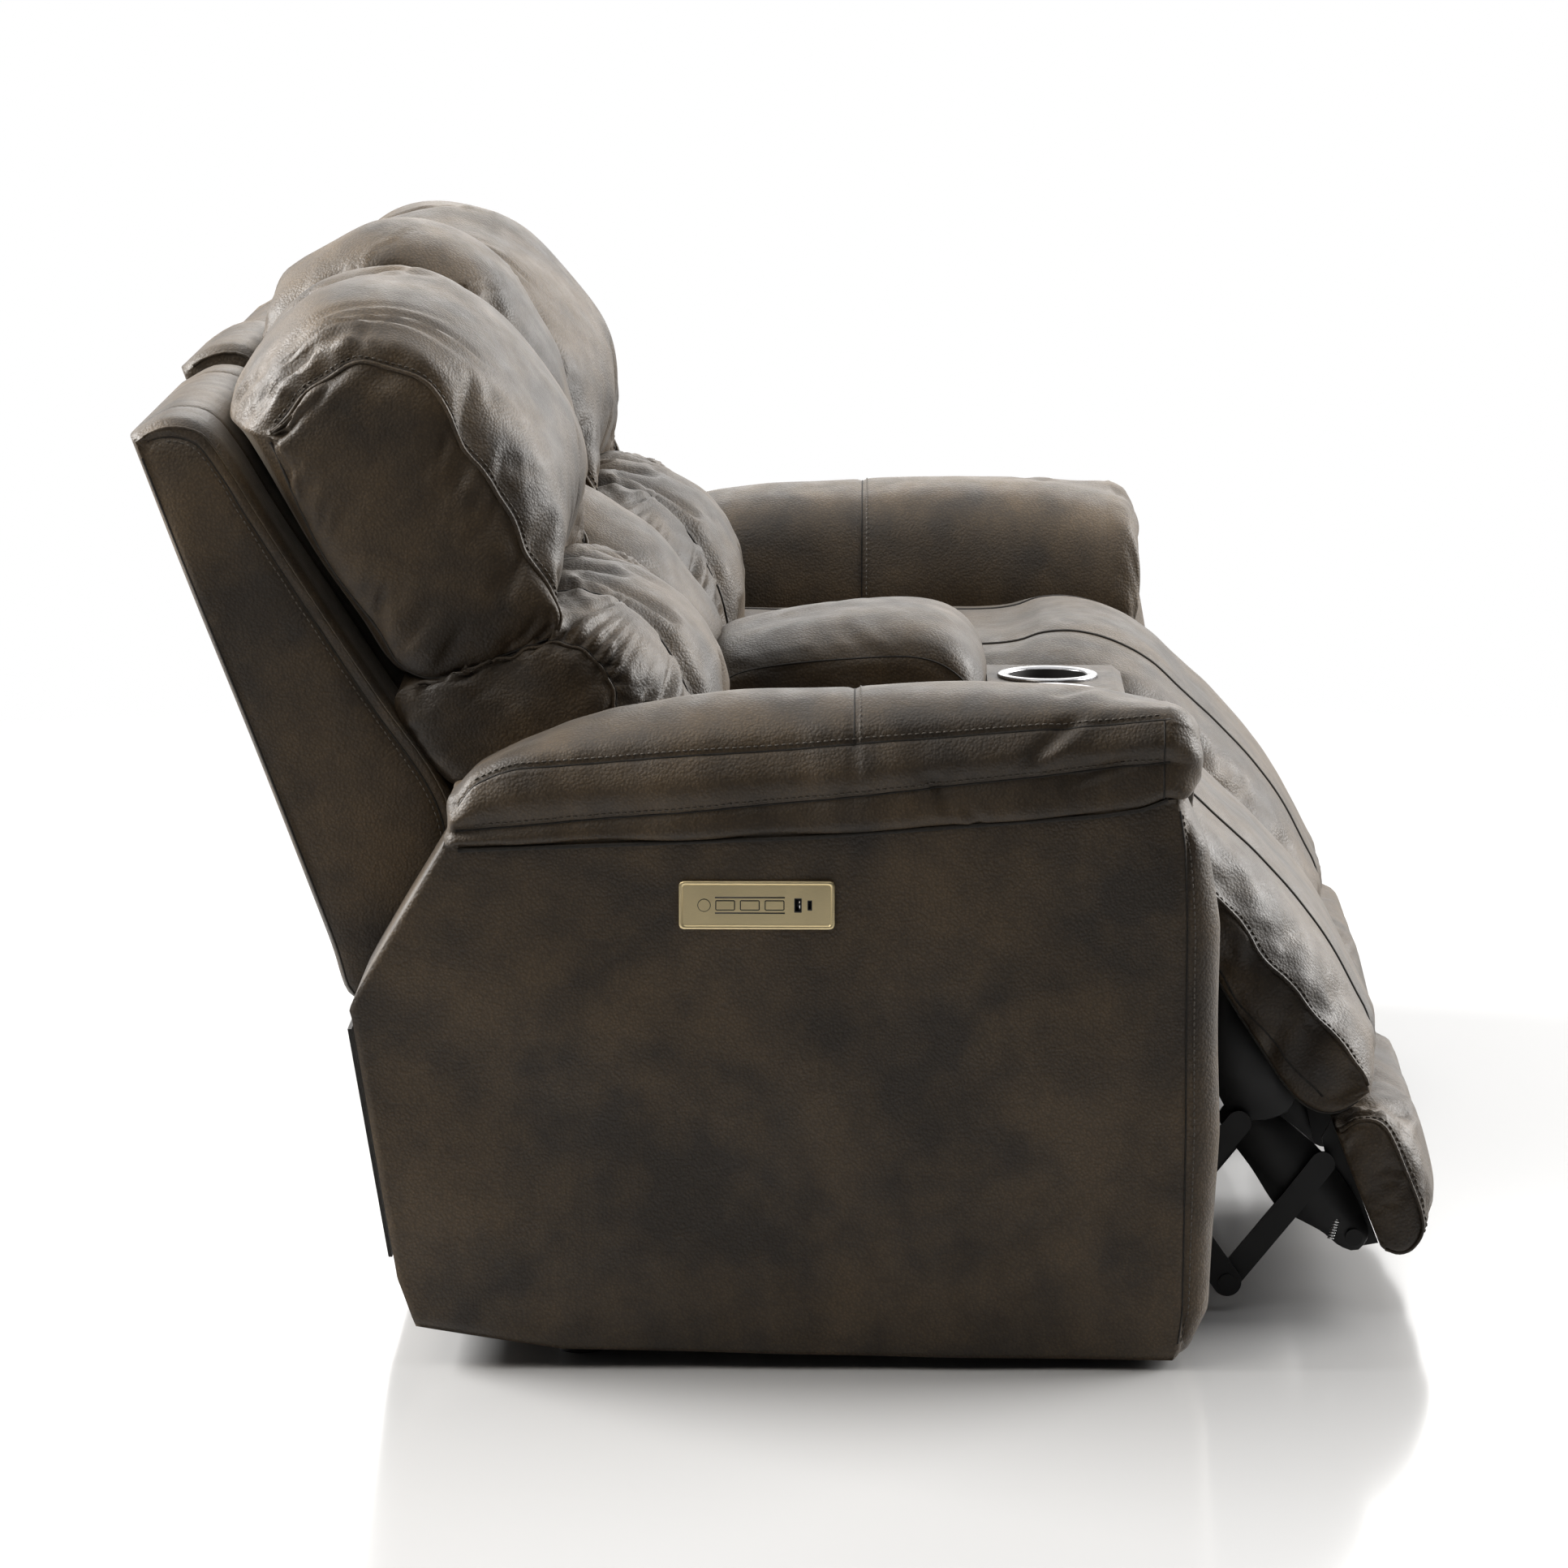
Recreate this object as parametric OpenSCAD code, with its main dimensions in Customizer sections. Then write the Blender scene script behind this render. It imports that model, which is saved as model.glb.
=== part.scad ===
// Power reclining console loveseat: two reclining seats, a storage console between them.
// +X is the sitter's left, -Y is the front, +Z is up.  The floor is z = 0.
// Side outlines are lists of [forward, height]; "forward" is measured from the middle of the depth.

/* [Plan] */
// Width of each reclining seat
seat_w = 592; // [560:2:640]
// Width of the fixed console between the seats
console_w = 320; // [300:2:380]
// Width of each arm box
arm_w = 230; // [200:2:260]
// Gap between a seat and its fixed neighbours
gap = 4; // [3:0.5:8]
// How far the arm pad stands out past the arm box
pad_overhang = 10; // [0:1:15]

/* [Panels] */
// Thickness of the upholstered arm panels
panel_t = 24; // [18:1:30]

/* [Footrest linkage] */
// Thickness of a steel link
link_t = 5; // [4:0.5:6]
// Spacing of the link layers
layer_step = 9; // [8.5:0.5:10]
// Width of the two outer links
link_w = 30; // [24:1:32]
// Radius of the pivot pins
pin_r = 6; // [5:0.5:7]
// Radial running clearance round a pin
pin_clear = 0.06; // [0.03:0.01:0.09]

/* [Controls] */
// Length of the control plate
plate_l = 152; // [148:1:170]
// Height of the control plate
plate_h = 46; // [44:1:60]
// Length of a rocker switch
rocker_l = 17.4; // [16:0.2:18]
// Height of a rocker switch
rocker_h = 8.2; // [7:0.2:9]

/* [Cup holders] */
// Inner radius of a cup
cup_r = 45.5; // [40:0.5:46]
// Depth of a cup
cup_depth = 68; // [50:1:70]

/* [Hidden] */
$fn = 64;

LEATHER = [0.36, 0.32, 0.28];
BLACK_STEEL = [0.12, 0.12, 0.13];
BRIGHT_STEEL = [0.75, 0.75, 0.76];
CHAMPAGNE = [0.70, 0.63, 0.47];
WOOD = [0.72, 0.58, 0.40];
DARK_CLOTH = [0.16, 0.15, 0.14];

// Plan positions
seat_x = console_w / 2 + gap + seat_w / 2;
arm_in = seat_x + seat_w / 2 + gap;
arm_out = arm_in + arm_w;

// A smooth run through a few points: Catmull-Rom, with the ends held
function blend_point(a, b, c, d, t) =
    0.5 * (2 * b + (c - a) * t + (2 * a - 5 * b + 4 * c - d) * t * t
           + (3 * b - a - 3 * c + d) * t * t * t);
function smooth(p, steps) = [
    for (i = [0 : len(p) - 2], k = [0 : steps - 1])
        blend_point(p[max(i - 1, 0)], p[i], p[i + 1], p[min(i + 2, len(p) - 1)], k / steps),
    p[len(p) - 1]];

// Arm outlines
arm_front_f = 395;
arm_top_rear = [-330, 530];
arm_top_front = [arm_front_f, 578];
arm_side = [arm_top_rear, [-425, 365], [-380, 90], [-362, 42], [-215, 20],
            [arm_front_f, 10], arm_top_front];
arm_nose = concat([[arm_front_f, 578], [arm_front_f, 10]],
                  smooth([[405, 8], [428, 60], [435, 240], [432, 420], [418, 572]], 3));
arm_crest = smooth([[-330, 532], [-313, 588], [-261, 617], [-163, 654], [73, 676],
                    [195, 681], [317, 674], [382, 659], [411, 643], [424, 606],
                    [414, 582]], 2);
crown_r = 133;

// Back, lumbar, headrest and seat outlines
recline_axis = [-370, 330];
recline_pin_r = 10;
flank_pocket_r = 110;
back_foot = [-445, 330];
back_knee = [-469, 399];
back_top = [-665, 914];
back_side = [back_foot, back_knee, back_top, [-647, 930], [-592, 928],
             [-566, 898], [-334, 535], [-320, 400], [-340, 330]];
lumbar_side = concat(smooth([[-218, 744], [-186, 746], [-130, 700], [-83, 630], [-64, 575],
                             [-68, 556]], 3), [[-315, 549], [-342, 556], [-403, 654]]);
headrest_side = concat(smooth([[-221, 752], [-215, 790], [-238, 902], [-314, 1010],
                               [-414, 1058], [-451, 1060], [-537, 1007], [-584, 940]], 4),
                       [[-560, 904], [-410, 668]]);
cushion_side = concat([[-315, 431], [-315, 524]],
                      smooth([[-60, 546], [226, 548], [299, 566], [353, 562], [406, 545],
                              [440, 512], [446, 470]], 3), [[440, 431]]);
chaise_side = concat(smooth([[482, 474], [505, 452], [564, 381], [609, 292], [628, 252],
                             [629, 234], [618, 224]], 3),
                     [[575, 217], [540, 228], [472, 350], [468, 420]]);

// Footrest pad, with its flat back where the brackets fasten
pad_back_top = [570, 198];
pad_back_low = [620, 68];
footrest_side = smooth([pad_back_top, [594, 213], [630, 216], [653, 197], [670, 140],
                        [675, 104], [666, 78], [644, 61], pad_back_low], 3);

// Linkage pivots: a parallelogram of main pin, crank pin, top pin and cross pin
main_pin = [410, 320];
crank_pin = [405, 114];
foot_pin = [462, 32];
top_pin = [473, 198];
cross_pin = [530, 116];
bracket_pin = [594, 76];
brace_end = [560, 155];
hole_r = pin_r + pin_clear;
head_r = pin_r + 3;
head_t = 2.2;
head_gap = 0.4;

// Link layers, counted inward from the side plates
side_plate_in = 281;
drive_in = side_plate_in - layer_step;
middle_in = drive_in - layer_step;
front_in = middle_in - layer_step;
bracket_in = front_in - layer_step;

// Console outlines
console_half = console_w / 2;
deck_z = 528;
lid_side = concat([[-88, deck_z + 3], [-88, 600]],
                  smooth([[-80, 612], [40, 636], [124, 643], [197, 622], [220, 578],
                          [213, deck_z + 3]], 4));
console_back_side = [[-410, 92], [-478, 399], [-675, 914], [-658, 935], [-596, 938],
                     [-570, 908], [-340, 545], [-300, 430], [-232, 430], [-232, 92]];
console_pad_side = concat(smooth([[-95, 540], [-104, 620], [-140, 700], [-238, 810],
                                  [-261, 865], [-296, 975], [-350, 1047], [-441, 1070],
                                  [-505, 1047], [-579, 992], [-590, 946]], 3),
                          [[-564, 914], [-330, 547]]);
tray_f = [222, 377];
cup_f = 291;
cup_x = 68;
cup_wall = 2.3;
flange_r = 57;
flange_t = 3;
tray_top = 549;
inlet_z = 150;

// Controls on the outer face of the arm
plate_f = -20;
plate_z = 473;
plate_t = 8;
plate_proud = 3;
pocket_d = 4.5;
slot_clear = 0.3;
home_f = -52.2;
rocker_f = [-31.3, -6.9, 17.6];
usb_a_f = 40.8;
usb_c_f = 52.5;
home_r = 5.8;

// ---- helpers ----

// A side outline made solid from x0 to x1
module side_solid(outline, x0, x1) {
    translate([x1, 0, 0]) rotate([90, 0, -90]) linear_extrude(x1 - x0) polygon(outline);
}

// A round bar along X at a [forward, height] place
module cross_rod(place, r, x0, x1) {
    translate([x0, -place[0], place[1]]) rotate([0, 90, 0]) cylinder(r = r, h = x1 - x0);
}

// A flat link with round ends, through a list of places
module flat_link(places, w, x0, x1) {
    for (p = places) cross_rod(p, w / 2, x0, x1);
    for (i = [0 : len(places) - 2]) {
        a = places[i];
        b = places[i + 1];
        across = [a[1] - b[1], b[0] - a[0]] * (w / 2 / norm(b - a));
        side_solid([a + across, b + across, b - across, a - across], x0, x1);
    }
}

// The right side is the model's own side; the left one is its mirror image
module on_side(side) {
    if (side < 0) children();
    else mirror([1, 0, 0]) children();
}

module at_seat(side) {
    translate([side * seat_x, 0, 0]) children();
}

// Both flanks of one seat
module both_flanks() {
    children();
    mirror([1, 0, 0]) children();
}

// ---- arms (modelled on the right, at -X) ----

module arm_outer_panel() {
    color(LEATHER) difference() {
        side_solid(arm_side, -arm_out, -arm_in - panel_t);
        translate([-arm_out + panel_t, 0, 0])
            side_solid([[-262, 600], [-304, 530], [-400, 363], [-355, 92], [-338, 60],
                        [-338, 0], [420, 0], [420, 600]], 0, arm_w - panel_t);
        translate([-arm_out - 1, -plate_f - plate_l / 2, plate_z - plate_h / 2])
            cube([1 + plate_t - plate_proud, plate_l, plate_h]);
    }
}

module arm_inner_panel() {
    color(LEATHER) side_solid(arm_side, -arm_in - panel_t, -arm_in);
}

module arm_front() {
    nose_r = 34;
    color(LEATHER) intersection() {
        side_solid(arm_nose, -arm_out, -arm_in);
        union() {
            translate([-arm_out, -arm_front_f - 6, 0]) cube([arm_w, 60, 600]);
            for (x = [-arm_out + nose_r, -arm_in - nose_r])
                translate([x, -arm_front_f - 6, 0]) cylinder(r = nose_r, h = 600);
            translate([-arm_out + nose_r, -arm_front_f - 6 - nose_r, 0])
                cube([arm_w - 2 * nose_r, nose_r, 600]);
        }
    }
}

module arm_pad() {
    pad_mid = -(arm_in + arm_out + pad_overhang) / 2;
    color(LEATHER) intersection() {
        side_solid(concat([[-329, 531]], arm_crest, [[arm_front_f, 579.5]]),
                   -arm_out - pad_overhang, -arm_in);
        translate([pad_mid, 0, 681 - crown_r]) rotate([90, 0, 0])
            cylinder(r = crown_r, h = 1000, center = true, $fn = 128);
    }
}

module arm_base_board() {
    color(WOOD) translate([-arm_out + panel_t, -arm_front_f, 45])
        cube([arm_w - 2 * panel_t, 700, 22]);
}

module glide_feet() {
    foot_x = 900;
    color("black") for (side = [-1, 1], f = [-199, 355])
        translate([side * foot_x, -f, 0]) cylinder(r = 24, h = 45);
    color("black") for (f = [-210, 330]) translate([0, -f, 0]) cylinder(r = 24, h = 20);
}

// ---- base ----

module base_rail(f) {
    color(BLACK_STEEL) translate([-arm_in, -f - 15, 52]) cube([2 * arm_in, 30, 34]);
}

module seat_runners() {
    color(BLACK_STEEL) for (side = [-1, 1], flank = [-1, 1])
        translate([side * seat_x + flank * 283 - 7, -255, 86]) cube([14, 565, 22]);
}

module rear_cover() {
    cover = [[-446, 300], [-442, 300], [-402, 60], [-406, 60]];
    color(DARK_CLOTH) for (side = [-1, 1])
        side_solid(cover, side * seat_x - seat_w / 2, side * seat_x + seat_w / 2);
}

module power_inlet() {
    color("black") translate([0, 410 + 2, inlet_z]) difference() {
        translate([-18, -14, -14]) cube([36, 30, 28]);
        rotate([-90, 0, 0]) cylinder(r = 5.5, h = 40);
    }
}

// ---- console ----

module console_box() {
    wall = 30;
    color(LEATHER) difference() {
        side_solid([[-231, 92], [-231, deck_z], [tray_f[1], deck_z], [tray_f[1], 20],
                    [345, 20], [345, 92]], -console_half, console_half);
        side_solid([[-195, 120], [-195, deck_z + 5], [195, deck_z + 5], [195, 120]],
                   -console_half + wall, console_half - wall);
        side_solid([[tray_f[0], 440], [tray_f[0], deck_z + 5], [tray_f[1] + 1, deck_z + 5],
                    [tray_f[1] + 1, 440]], -console_half - 1, console_half + 1);
    }
}

module console_tray() {
    color(LEATHER) difference() {
        side_solid([[tray_f[0], 441], [tray_f[0], tray_top], [tray_f[1] - 10, tray_top],
                    [tray_f[1], tray_top - 8], [tray_f[1], 441]],
                   -console_half, console_half);
        for (x = [-cup_x, cup_x]) translate([x, -cup_f, tray_top - cup_depth - cup_wall])
            cylinder(r = cup_r + cup_wall + 0.2, h = 200);
    }
}

module cup_holders() {
    color(BRIGHT_STEEL) for (x = [-cup_x, cup_x])
        translate([x, -cup_f, tray_top]) difference() {
            union() {
                cylinder(r = flange_r, h = flange_t);
                translate([0, 0, -cup_depth]) cylinder(r = cup_r + cup_wall, h = cup_depth);
            }
            translate([0, 0, flange_t - cup_depth])
                cylinder(r = cup_r, h = cup_depth + 1);
        }
}

module console_lid() {
    color(LEATHER) side_solid(lid_side, -console_half + 4, console_half - 4);
}

module console_back_shell() {
    color(LEATHER) difference() {
        side_solid(console_back_side, -console_half, console_half);
        translate([-18, 398, inlet_z - 14]) cube([36, 40, 28]);
    }
}

module console_back_pad() {
    color(LEATHER) side_solid(console_pad_side, -console_half + 4, console_half - 4);
}

// ---- controls ----

module control_plate() {
    outer = -arm_out - plate_proud;
    color(CHAMPAGNE) difference() {
        translate([outer, -plate_f - plate_l / 2, plate_z - plate_h / 2])
            cube([plate_t, plate_l, plate_h]);
        cross_rod([plate_f + home_f, plate_z], home_r + slot_clear, outer - 1,
                  outer + pocket_d);
        for (f = rocker_f)
            translate([outer - 1, -plate_f - f - rocker_l / 2 - slot_clear,
                       plate_z - rocker_h / 2 - slot_clear])
                cube([1 + pocket_d, rocker_l + 2 * slot_clear, rocker_h + 2 * slot_clear]);
        translate([outer - 1, -plate_f - usb_a_f - 3.05, plate_z - 6.55])
            cube([1 + plate_t - 1.5, 6.1, 13.1]);
        translate([outer - 1, -plate_f - usb_c_f - 1.65, plate_z - 4.45])
            cube([1 + plate_t - 1.5, 3.3, 8.9]);
    }
}

module home_button() {
    outer = -arm_out - plate_proud;
    color(CHAMPAGNE) cross_rod([plate_f + home_f, plate_z], home_r, outer - 0.8, outer + 2.4);
}

module rocker(index) {
    outer = -arm_out - plate_proud;
    color(CHAMPAGNE)
        translate([outer - 0.6, -plate_f - rocker_f[index] - rocker_l / 2,
                   plate_z - rocker_h / 2])
            cube([3, rocker_l, rocker_h]);
}

// ---- one seat (modelled about its own middle) ----

module seat_deck() {
    color(WOOD) translate([-seat_w / 2 + 8, -405, 404]) cube([seat_w - 16, 695, 26]);
}

module seat_cushion() {
    color(LEATHER) side_solid(cushion_side, -seat_w / 2, seat_w / 2);
}

module seat_side_plates() {
    outline = [[-395, 312], [-395, 362], [-290, 403], [404, 403], [404, 320], [300, 262],
               [220, 109], [-280, 109]];
    color(BLACK_STEEL) both_flanks() {
        side_solid(outline, side_plate_in, side_plate_in + link_t);
        cross_rod(recline_axis, 34, side_plate_in, side_plate_in + link_t);
        cross_rod(recline_axis, recline_pin_r, side_plate_in - 20, side_plate_in + 1);
        cross_rod(main_pin, 14, side_plate_in, side_plate_in + link_t);
        cross_rod(main_pin, pin_r, drive_in - head_gap - 1, side_plate_in + 1);
        cross_rod(main_pin, head_r, drive_in - head_gap - head_t, drive_in - head_gap);
    }
}

module seat_motors() {
    color(BLACK_STEEL) for (x = [-90, 90]) {
        translate([x - 35, 160, 330]) cube([70, 110, 74]);
        translate([x, 160, 365]) rotate([90, 0, 0]) cylinder(r = 18, h = 330);
    }
}

module back_shell() {
    flank = side_plate_in - 2;
    color(LEATHER) difference() {
        side_solid(back_side, -seat_w / 2 + 4, seat_w / 2 - 4);
        both_flanks() {
            cross_rod(recline_axis, flank_pocket_r, flank, seat_w);
            cross_rod(recline_axis, recline_pin_r + pin_clear, flank - 22, seat_w);
        }
    }
}

module lumbar_pad() {
    color(LEATHER) side_solid(lumbar_side, -seat_w / 2 + 6, seat_w / 2 - 6);
}

module headrest_pillow() {
    color(LEATHER) side_solid(headrest_side, -seat_w / 2 + 6, seat_w / 2 - 6);
}

module chaise_pad() {
    color(LEATHER) side_solid(chaise_side, -seat_w / 2, seat_w / 2);
}

module footrest_pad() {
    color(LEATHER) side_solid(footrest_side, -seat_w / 2 + 4, seat_w / 2 - 4);
}

// The drive link turns on the side plate and carries the crank pin and the foot pin
module drive_link() {
    color(BLACK_STEEL) both_flanks() difference() {
        flat_link([main_pin, crank_pin, foot_pin], link_w, drive_in, drive_in + link_t);
        for (p = [main_pin, crank_pin, foot_pin])
            cross_rod(p, hole_r, drive_in - 1, drive_in + link_t + 1);
    }
}

// A pin fixed in a middle-layer link, standing outward through the drive link
module outward_pin(place) {
    head = drive_in + link_t + head_gap;
    cross_rod(place, pin_r, middle_in + 1, head + 1);
    cross_rod(place, head_r, head, head + head_t);
}

// A pin fixed in a middle-layer link, standing inward through the front link
module inward_pin(place) {
    head = front_in - head_gap;
    cross_rod(place, pin_r, head - 1, middle_in + 1);
    cross_rod(place, head_r, head - head_t, head);
}

module rear_link() {
    color(BLACK_STEEL) both_flanks() {
        flat_link([crank_pin, top_pin], link_w - 4, middle_in, middle_in + link_t);
        outward_pin(crank_pin);
        inward_pin(top_pin);
    }
}

module front_link() {
    color(BLACK_STEEL) both_flanks() difference() {
        flat_link([top_pin, cross_pin, bracket_pin], link_w, front_in, front_in + link_t);
        for (p = [top_pin, cross_pin, bracket_pin])
            cross_rod(p, hole_r, front_in - 1, front_in + link_t + 1);
    }
}

module brace_link() {
    color(BLACK_STEEL) both_flanks() {
        flat_link([foot_pin, cross_pin, brace_end], link_w - 4, middle_in,
                  middle_in + link_t);
        outward_pin(foot_pin);
        inward_pin(cross_pin);
    }
}

// Two ears on the flat back of the footrest pad
module footrest_bracket() {
    head = front_in + link_t + head_gap;
    color(BLACK_STEEL) both_flanks() {
        side_solid([pad_back_top, pad_back_low, [604, 65], [584, 68], [580, 84], [560, 180]],
                   bracket_in, bracket_in + link_t);
        cross_rod(bracket_pin, 13, bracket_in, bracket_in + link_t);
        cross_rod(bracket_pin, pin_r, bracket_in + 1, head + 1);
        cross_rod(bracket_pin, head_r, head, head + head_t);
    }
}

on_side(-1) arm_outer_panel();  // arm_outer_panel_right
on_side(1) arm_outer_panel();  // arm_outer_panel_left
on_side(-1) arm_inner_panel();  // arm_inner_panel_right
on_side(1) arm_inner_panel();  // arm_inner_panel_left
on_side(-1) arm_front();  // arm_front_right
on_side(1) arm_front();  // arm_front_left
on_side(-1) arm_pad();  // arm_pad_right
on_side(1) arm_pad();  // arm_pad_left
on_side(-1) arm_base_board();  // arm_base_board_right
on_side(1) arm_base_board();  // arm_base_board_left
base_rail(240);  // base_rail_front
base_rail(-310);  // base_rail_rear
seat_runners();
rear_cover();
glide_feet();
console_box();
console_tray();
cup_holders();
console_back_shell();
console_back_pad();
console_lid();
on_side(-1) control_plate();  // control_plate_right
on_side(1) control_plate();  // control_plate_left
on_side(-1) home_button();  // home_button_right
on_side(1) home_button();  // home_button_left
on_side(-1) rocker(0);  // recline_rocker_right
on_side(1) rocker(0);  // recline_rocker_left
on_side(-1) rocker(1);  // headrest_rocker_right
on_side(1) rocker(1);  // headrest_rocker_left
on_side(-1) rocker(2);  // lumbar_rocker_right
on_side(1) rocker(2);  // lumbar_rocker_left
power_inlet();
at_seat(-1) seat_deck();  // seat_deck_right
at_seat(1) seat_deck();  // seat_deck_left
at_seat(-1) seat_cushion();  // seat_cushion_right
at_seat(1) seat_cushion();  // seat_cushion_left
at_seat(-1) seat_side_plates();  // seat_side_plates_right
at_seat(1) seat_side_plates();  // seat_side_plates_left
at_seat(-1) seat_motors();  // seat_motors_right
at_seat(1) seat_motors();  // seat_motors_left
at_seat(-1) back_shell();  // back_shell_right
at_seat(1) back_shell();  // back_shell_left
at_seat(-1) lumbar_pad();  // lumbar_pad_right
at_seat(1) lumbar_pad();  // lumbar_pad_left
at_seat(-1) headrest_pillow();  // headrest_pillow_right
at_seat(1) headrest_pillow();  // headrest_pillow_left
at_seat(-1) chaise_pad();  // chaise_pad_right
at_seat(1) chaise_pad();  // chaise_pad_left
at_seat(-1) drive_link();  // drive_link_right
at_seat(1) drive_link();  // drive_link_left
at_seat(-1) rear_link();  // rear_link_right
at_seat(1) rear_link();  // rear_link_left
at_seat(-1) front_link();  // front_link_right
at_seat(1) front_link();  // front_link_left
at_seat(-1) brace_link();  // brace_link_right
at_seat(1) brace_link();  // brace_link_left
at_seat(-1) footrest_bracket();  // footrest_bracket_right
at_seat(1) footrest_bracket();  // footrest_bracket_left
at_seat(-1) footrest_pad();  // footrest_pad_right
at_seat(1) footrest_pad();  // footrest_pad_left
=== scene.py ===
"""Looks of a power reclining loveseat with a storage console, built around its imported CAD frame.

Shapes are worked out in millimetres as [across, forward, height] on the right-hand seat or arm,
and the left-hand ones are their mirror images.
"""

import math

import bpy
import numpy as np
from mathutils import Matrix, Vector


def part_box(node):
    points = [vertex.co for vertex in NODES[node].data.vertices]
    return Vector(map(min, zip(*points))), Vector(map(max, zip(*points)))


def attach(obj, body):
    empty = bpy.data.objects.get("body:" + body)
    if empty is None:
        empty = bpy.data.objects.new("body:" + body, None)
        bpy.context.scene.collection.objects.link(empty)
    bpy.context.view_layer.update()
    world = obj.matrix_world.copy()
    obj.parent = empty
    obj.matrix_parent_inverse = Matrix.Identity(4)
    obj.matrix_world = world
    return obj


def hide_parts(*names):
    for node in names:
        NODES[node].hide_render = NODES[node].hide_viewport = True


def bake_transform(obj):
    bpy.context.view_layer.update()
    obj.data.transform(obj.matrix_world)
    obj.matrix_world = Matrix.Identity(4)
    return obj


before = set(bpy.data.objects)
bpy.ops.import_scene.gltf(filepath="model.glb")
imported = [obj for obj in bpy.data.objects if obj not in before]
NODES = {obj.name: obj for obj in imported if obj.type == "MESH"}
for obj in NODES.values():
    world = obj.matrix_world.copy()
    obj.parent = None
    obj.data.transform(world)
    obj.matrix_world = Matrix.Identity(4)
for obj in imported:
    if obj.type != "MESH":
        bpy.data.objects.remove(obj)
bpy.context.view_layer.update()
MM = 0.001
SIDES = ("right", "left")
# The third material place holds the very dark tubes laid along seams: painted shade in the seam gaps.
HIDE, THREAD, SEAM_SHADE = 0, 1, 2  # material places in every upholstered piece


def node_box(name):
    """Lowest and highest corner of a CAD node in millimetres, as [across, forward, height]."""
    lo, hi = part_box(name)
    return (np.array([lo.x, -hi.y, lo.z]) / MM, np.array([hi.x, -lo.y, hi.z]) / MM)


# ---- camera, light and floor ----

VIEW_PLACE = (-7.656, -0.110, 1.669)
VIEW_TURN = (90 - 9.157, 0, -89.114)
VIEW_LENS = 157


def make_camera():
    data = bpy.data.cameras.new("camera")
    data.lens = VIEW_LENS
    data.sensor_width = 36
    data.clip_end = 100
    camera = bpy.data.objects.new("camera", data)
    camera.location = VIEW_PLACE
    camera.rotation_euler = [math.radians(a) for a in VIEW_TURN]
    bpy.context.scene.collection.objects.link(camera)
    bpy.context.scene.camera = camera


def area_light(name, place, aim, size, power, colour):
    """A rectangular light that faces the point it is aimed at."""
    data = bpy.data.lights.new(name, "AREA")
    data.shape = "RECTANGLE"
    data.size, data.size_y = size
    data.energy = power
    data.color = colour
    light = bpy.data.objects.new(name, data)
    light.location = place
    way = np.array(aim, float) - np.array(place, float)
    light.rotation_euler = (
        math.atan2(math.hypot(way[0], way[1]), -way[2]), 0,
        math.atan2(way[1], way[0]) - math.pi / 2,
    )
    bpy.context.scene.collection.objects.link(light)


def make_world():
    """White to the camera. The light that it sheds is bright behind the object and dim before it."""
    world = bpy.data.worlds.new("studio")
    bpy.context.scene.world = world
    world.use_nodes = True
    tree = world.node_tree
    tree.nodes.clear()
    kinds = ("OutputWorld", "MixShader", "LightPath", "Background", "Background", "TexCoord",
             "SeparateXYZ", "MapRange")
    out, mix, path, seen, soft, way, parts, span = (
        tree.nodes.new("ShaderNode" + kind) for kind in kinds)
    seen.inputs["Color"].default_value = (1, 1, 1, 1)
    for name, value in (("From Min", -0.35), ("From Max", 0.75), ("To Min", DIM), ("To Max", BRIGHT)):
        span.inputs[name].default_value = value
    for start, end in ((way.outputs["Generated"], parts.inputs[0]),
                       (parts.outputs["X"], span.inputs["Value"]),
                       (span.outputs["Result"], soft.inputs["Strength"]),
                       (path.outputs["Is Camera Ray"], mix.inputs[0]),
                       (soft.outputs[0], mix.inputs[1]), (seen.outputs[0], mix.inputs[2]),
                       (mix.outputs[0], out.inputs[0])):
        tree.links.new(start, end)


def make_lights():
    """Large soft panels above, behind, before and beyond the object, and a small warm one near it."""
    soft_white, warm = (1, 0.985, 0.965), (1, 0.92, 0.81)
    area_light("overhead", (-0.1, -0.5, 3.8), (-0.05, -0.2, 0.5), (5.0, 4.2), 75, (1, 1, 1))
    area_light("behind", (4.2, -0.5, 2.6), (0, -0.1, 0.7), (4.0, 3.0), 95, soft_white)
    area_light("front", (1.6, -4.3, 2.4), (0, 0, 0.5), (4.0, 2.5), 430, soft_white)
    area_light("rear", (0.5, 4.4, 3.2), (0, 0.3, 0.8), (4.0, 2.2), 740, soft_white)
    area_light("fill", (-2.0, 1.4, 2.4), (-0.85, 0.45, 0.85), (1.8, 1.3), 19, warm)


FLOOR_REACH = 5.0
DIM, BRIGHT = 0.05, 0.95  # light of the surround, before and behind the object


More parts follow.
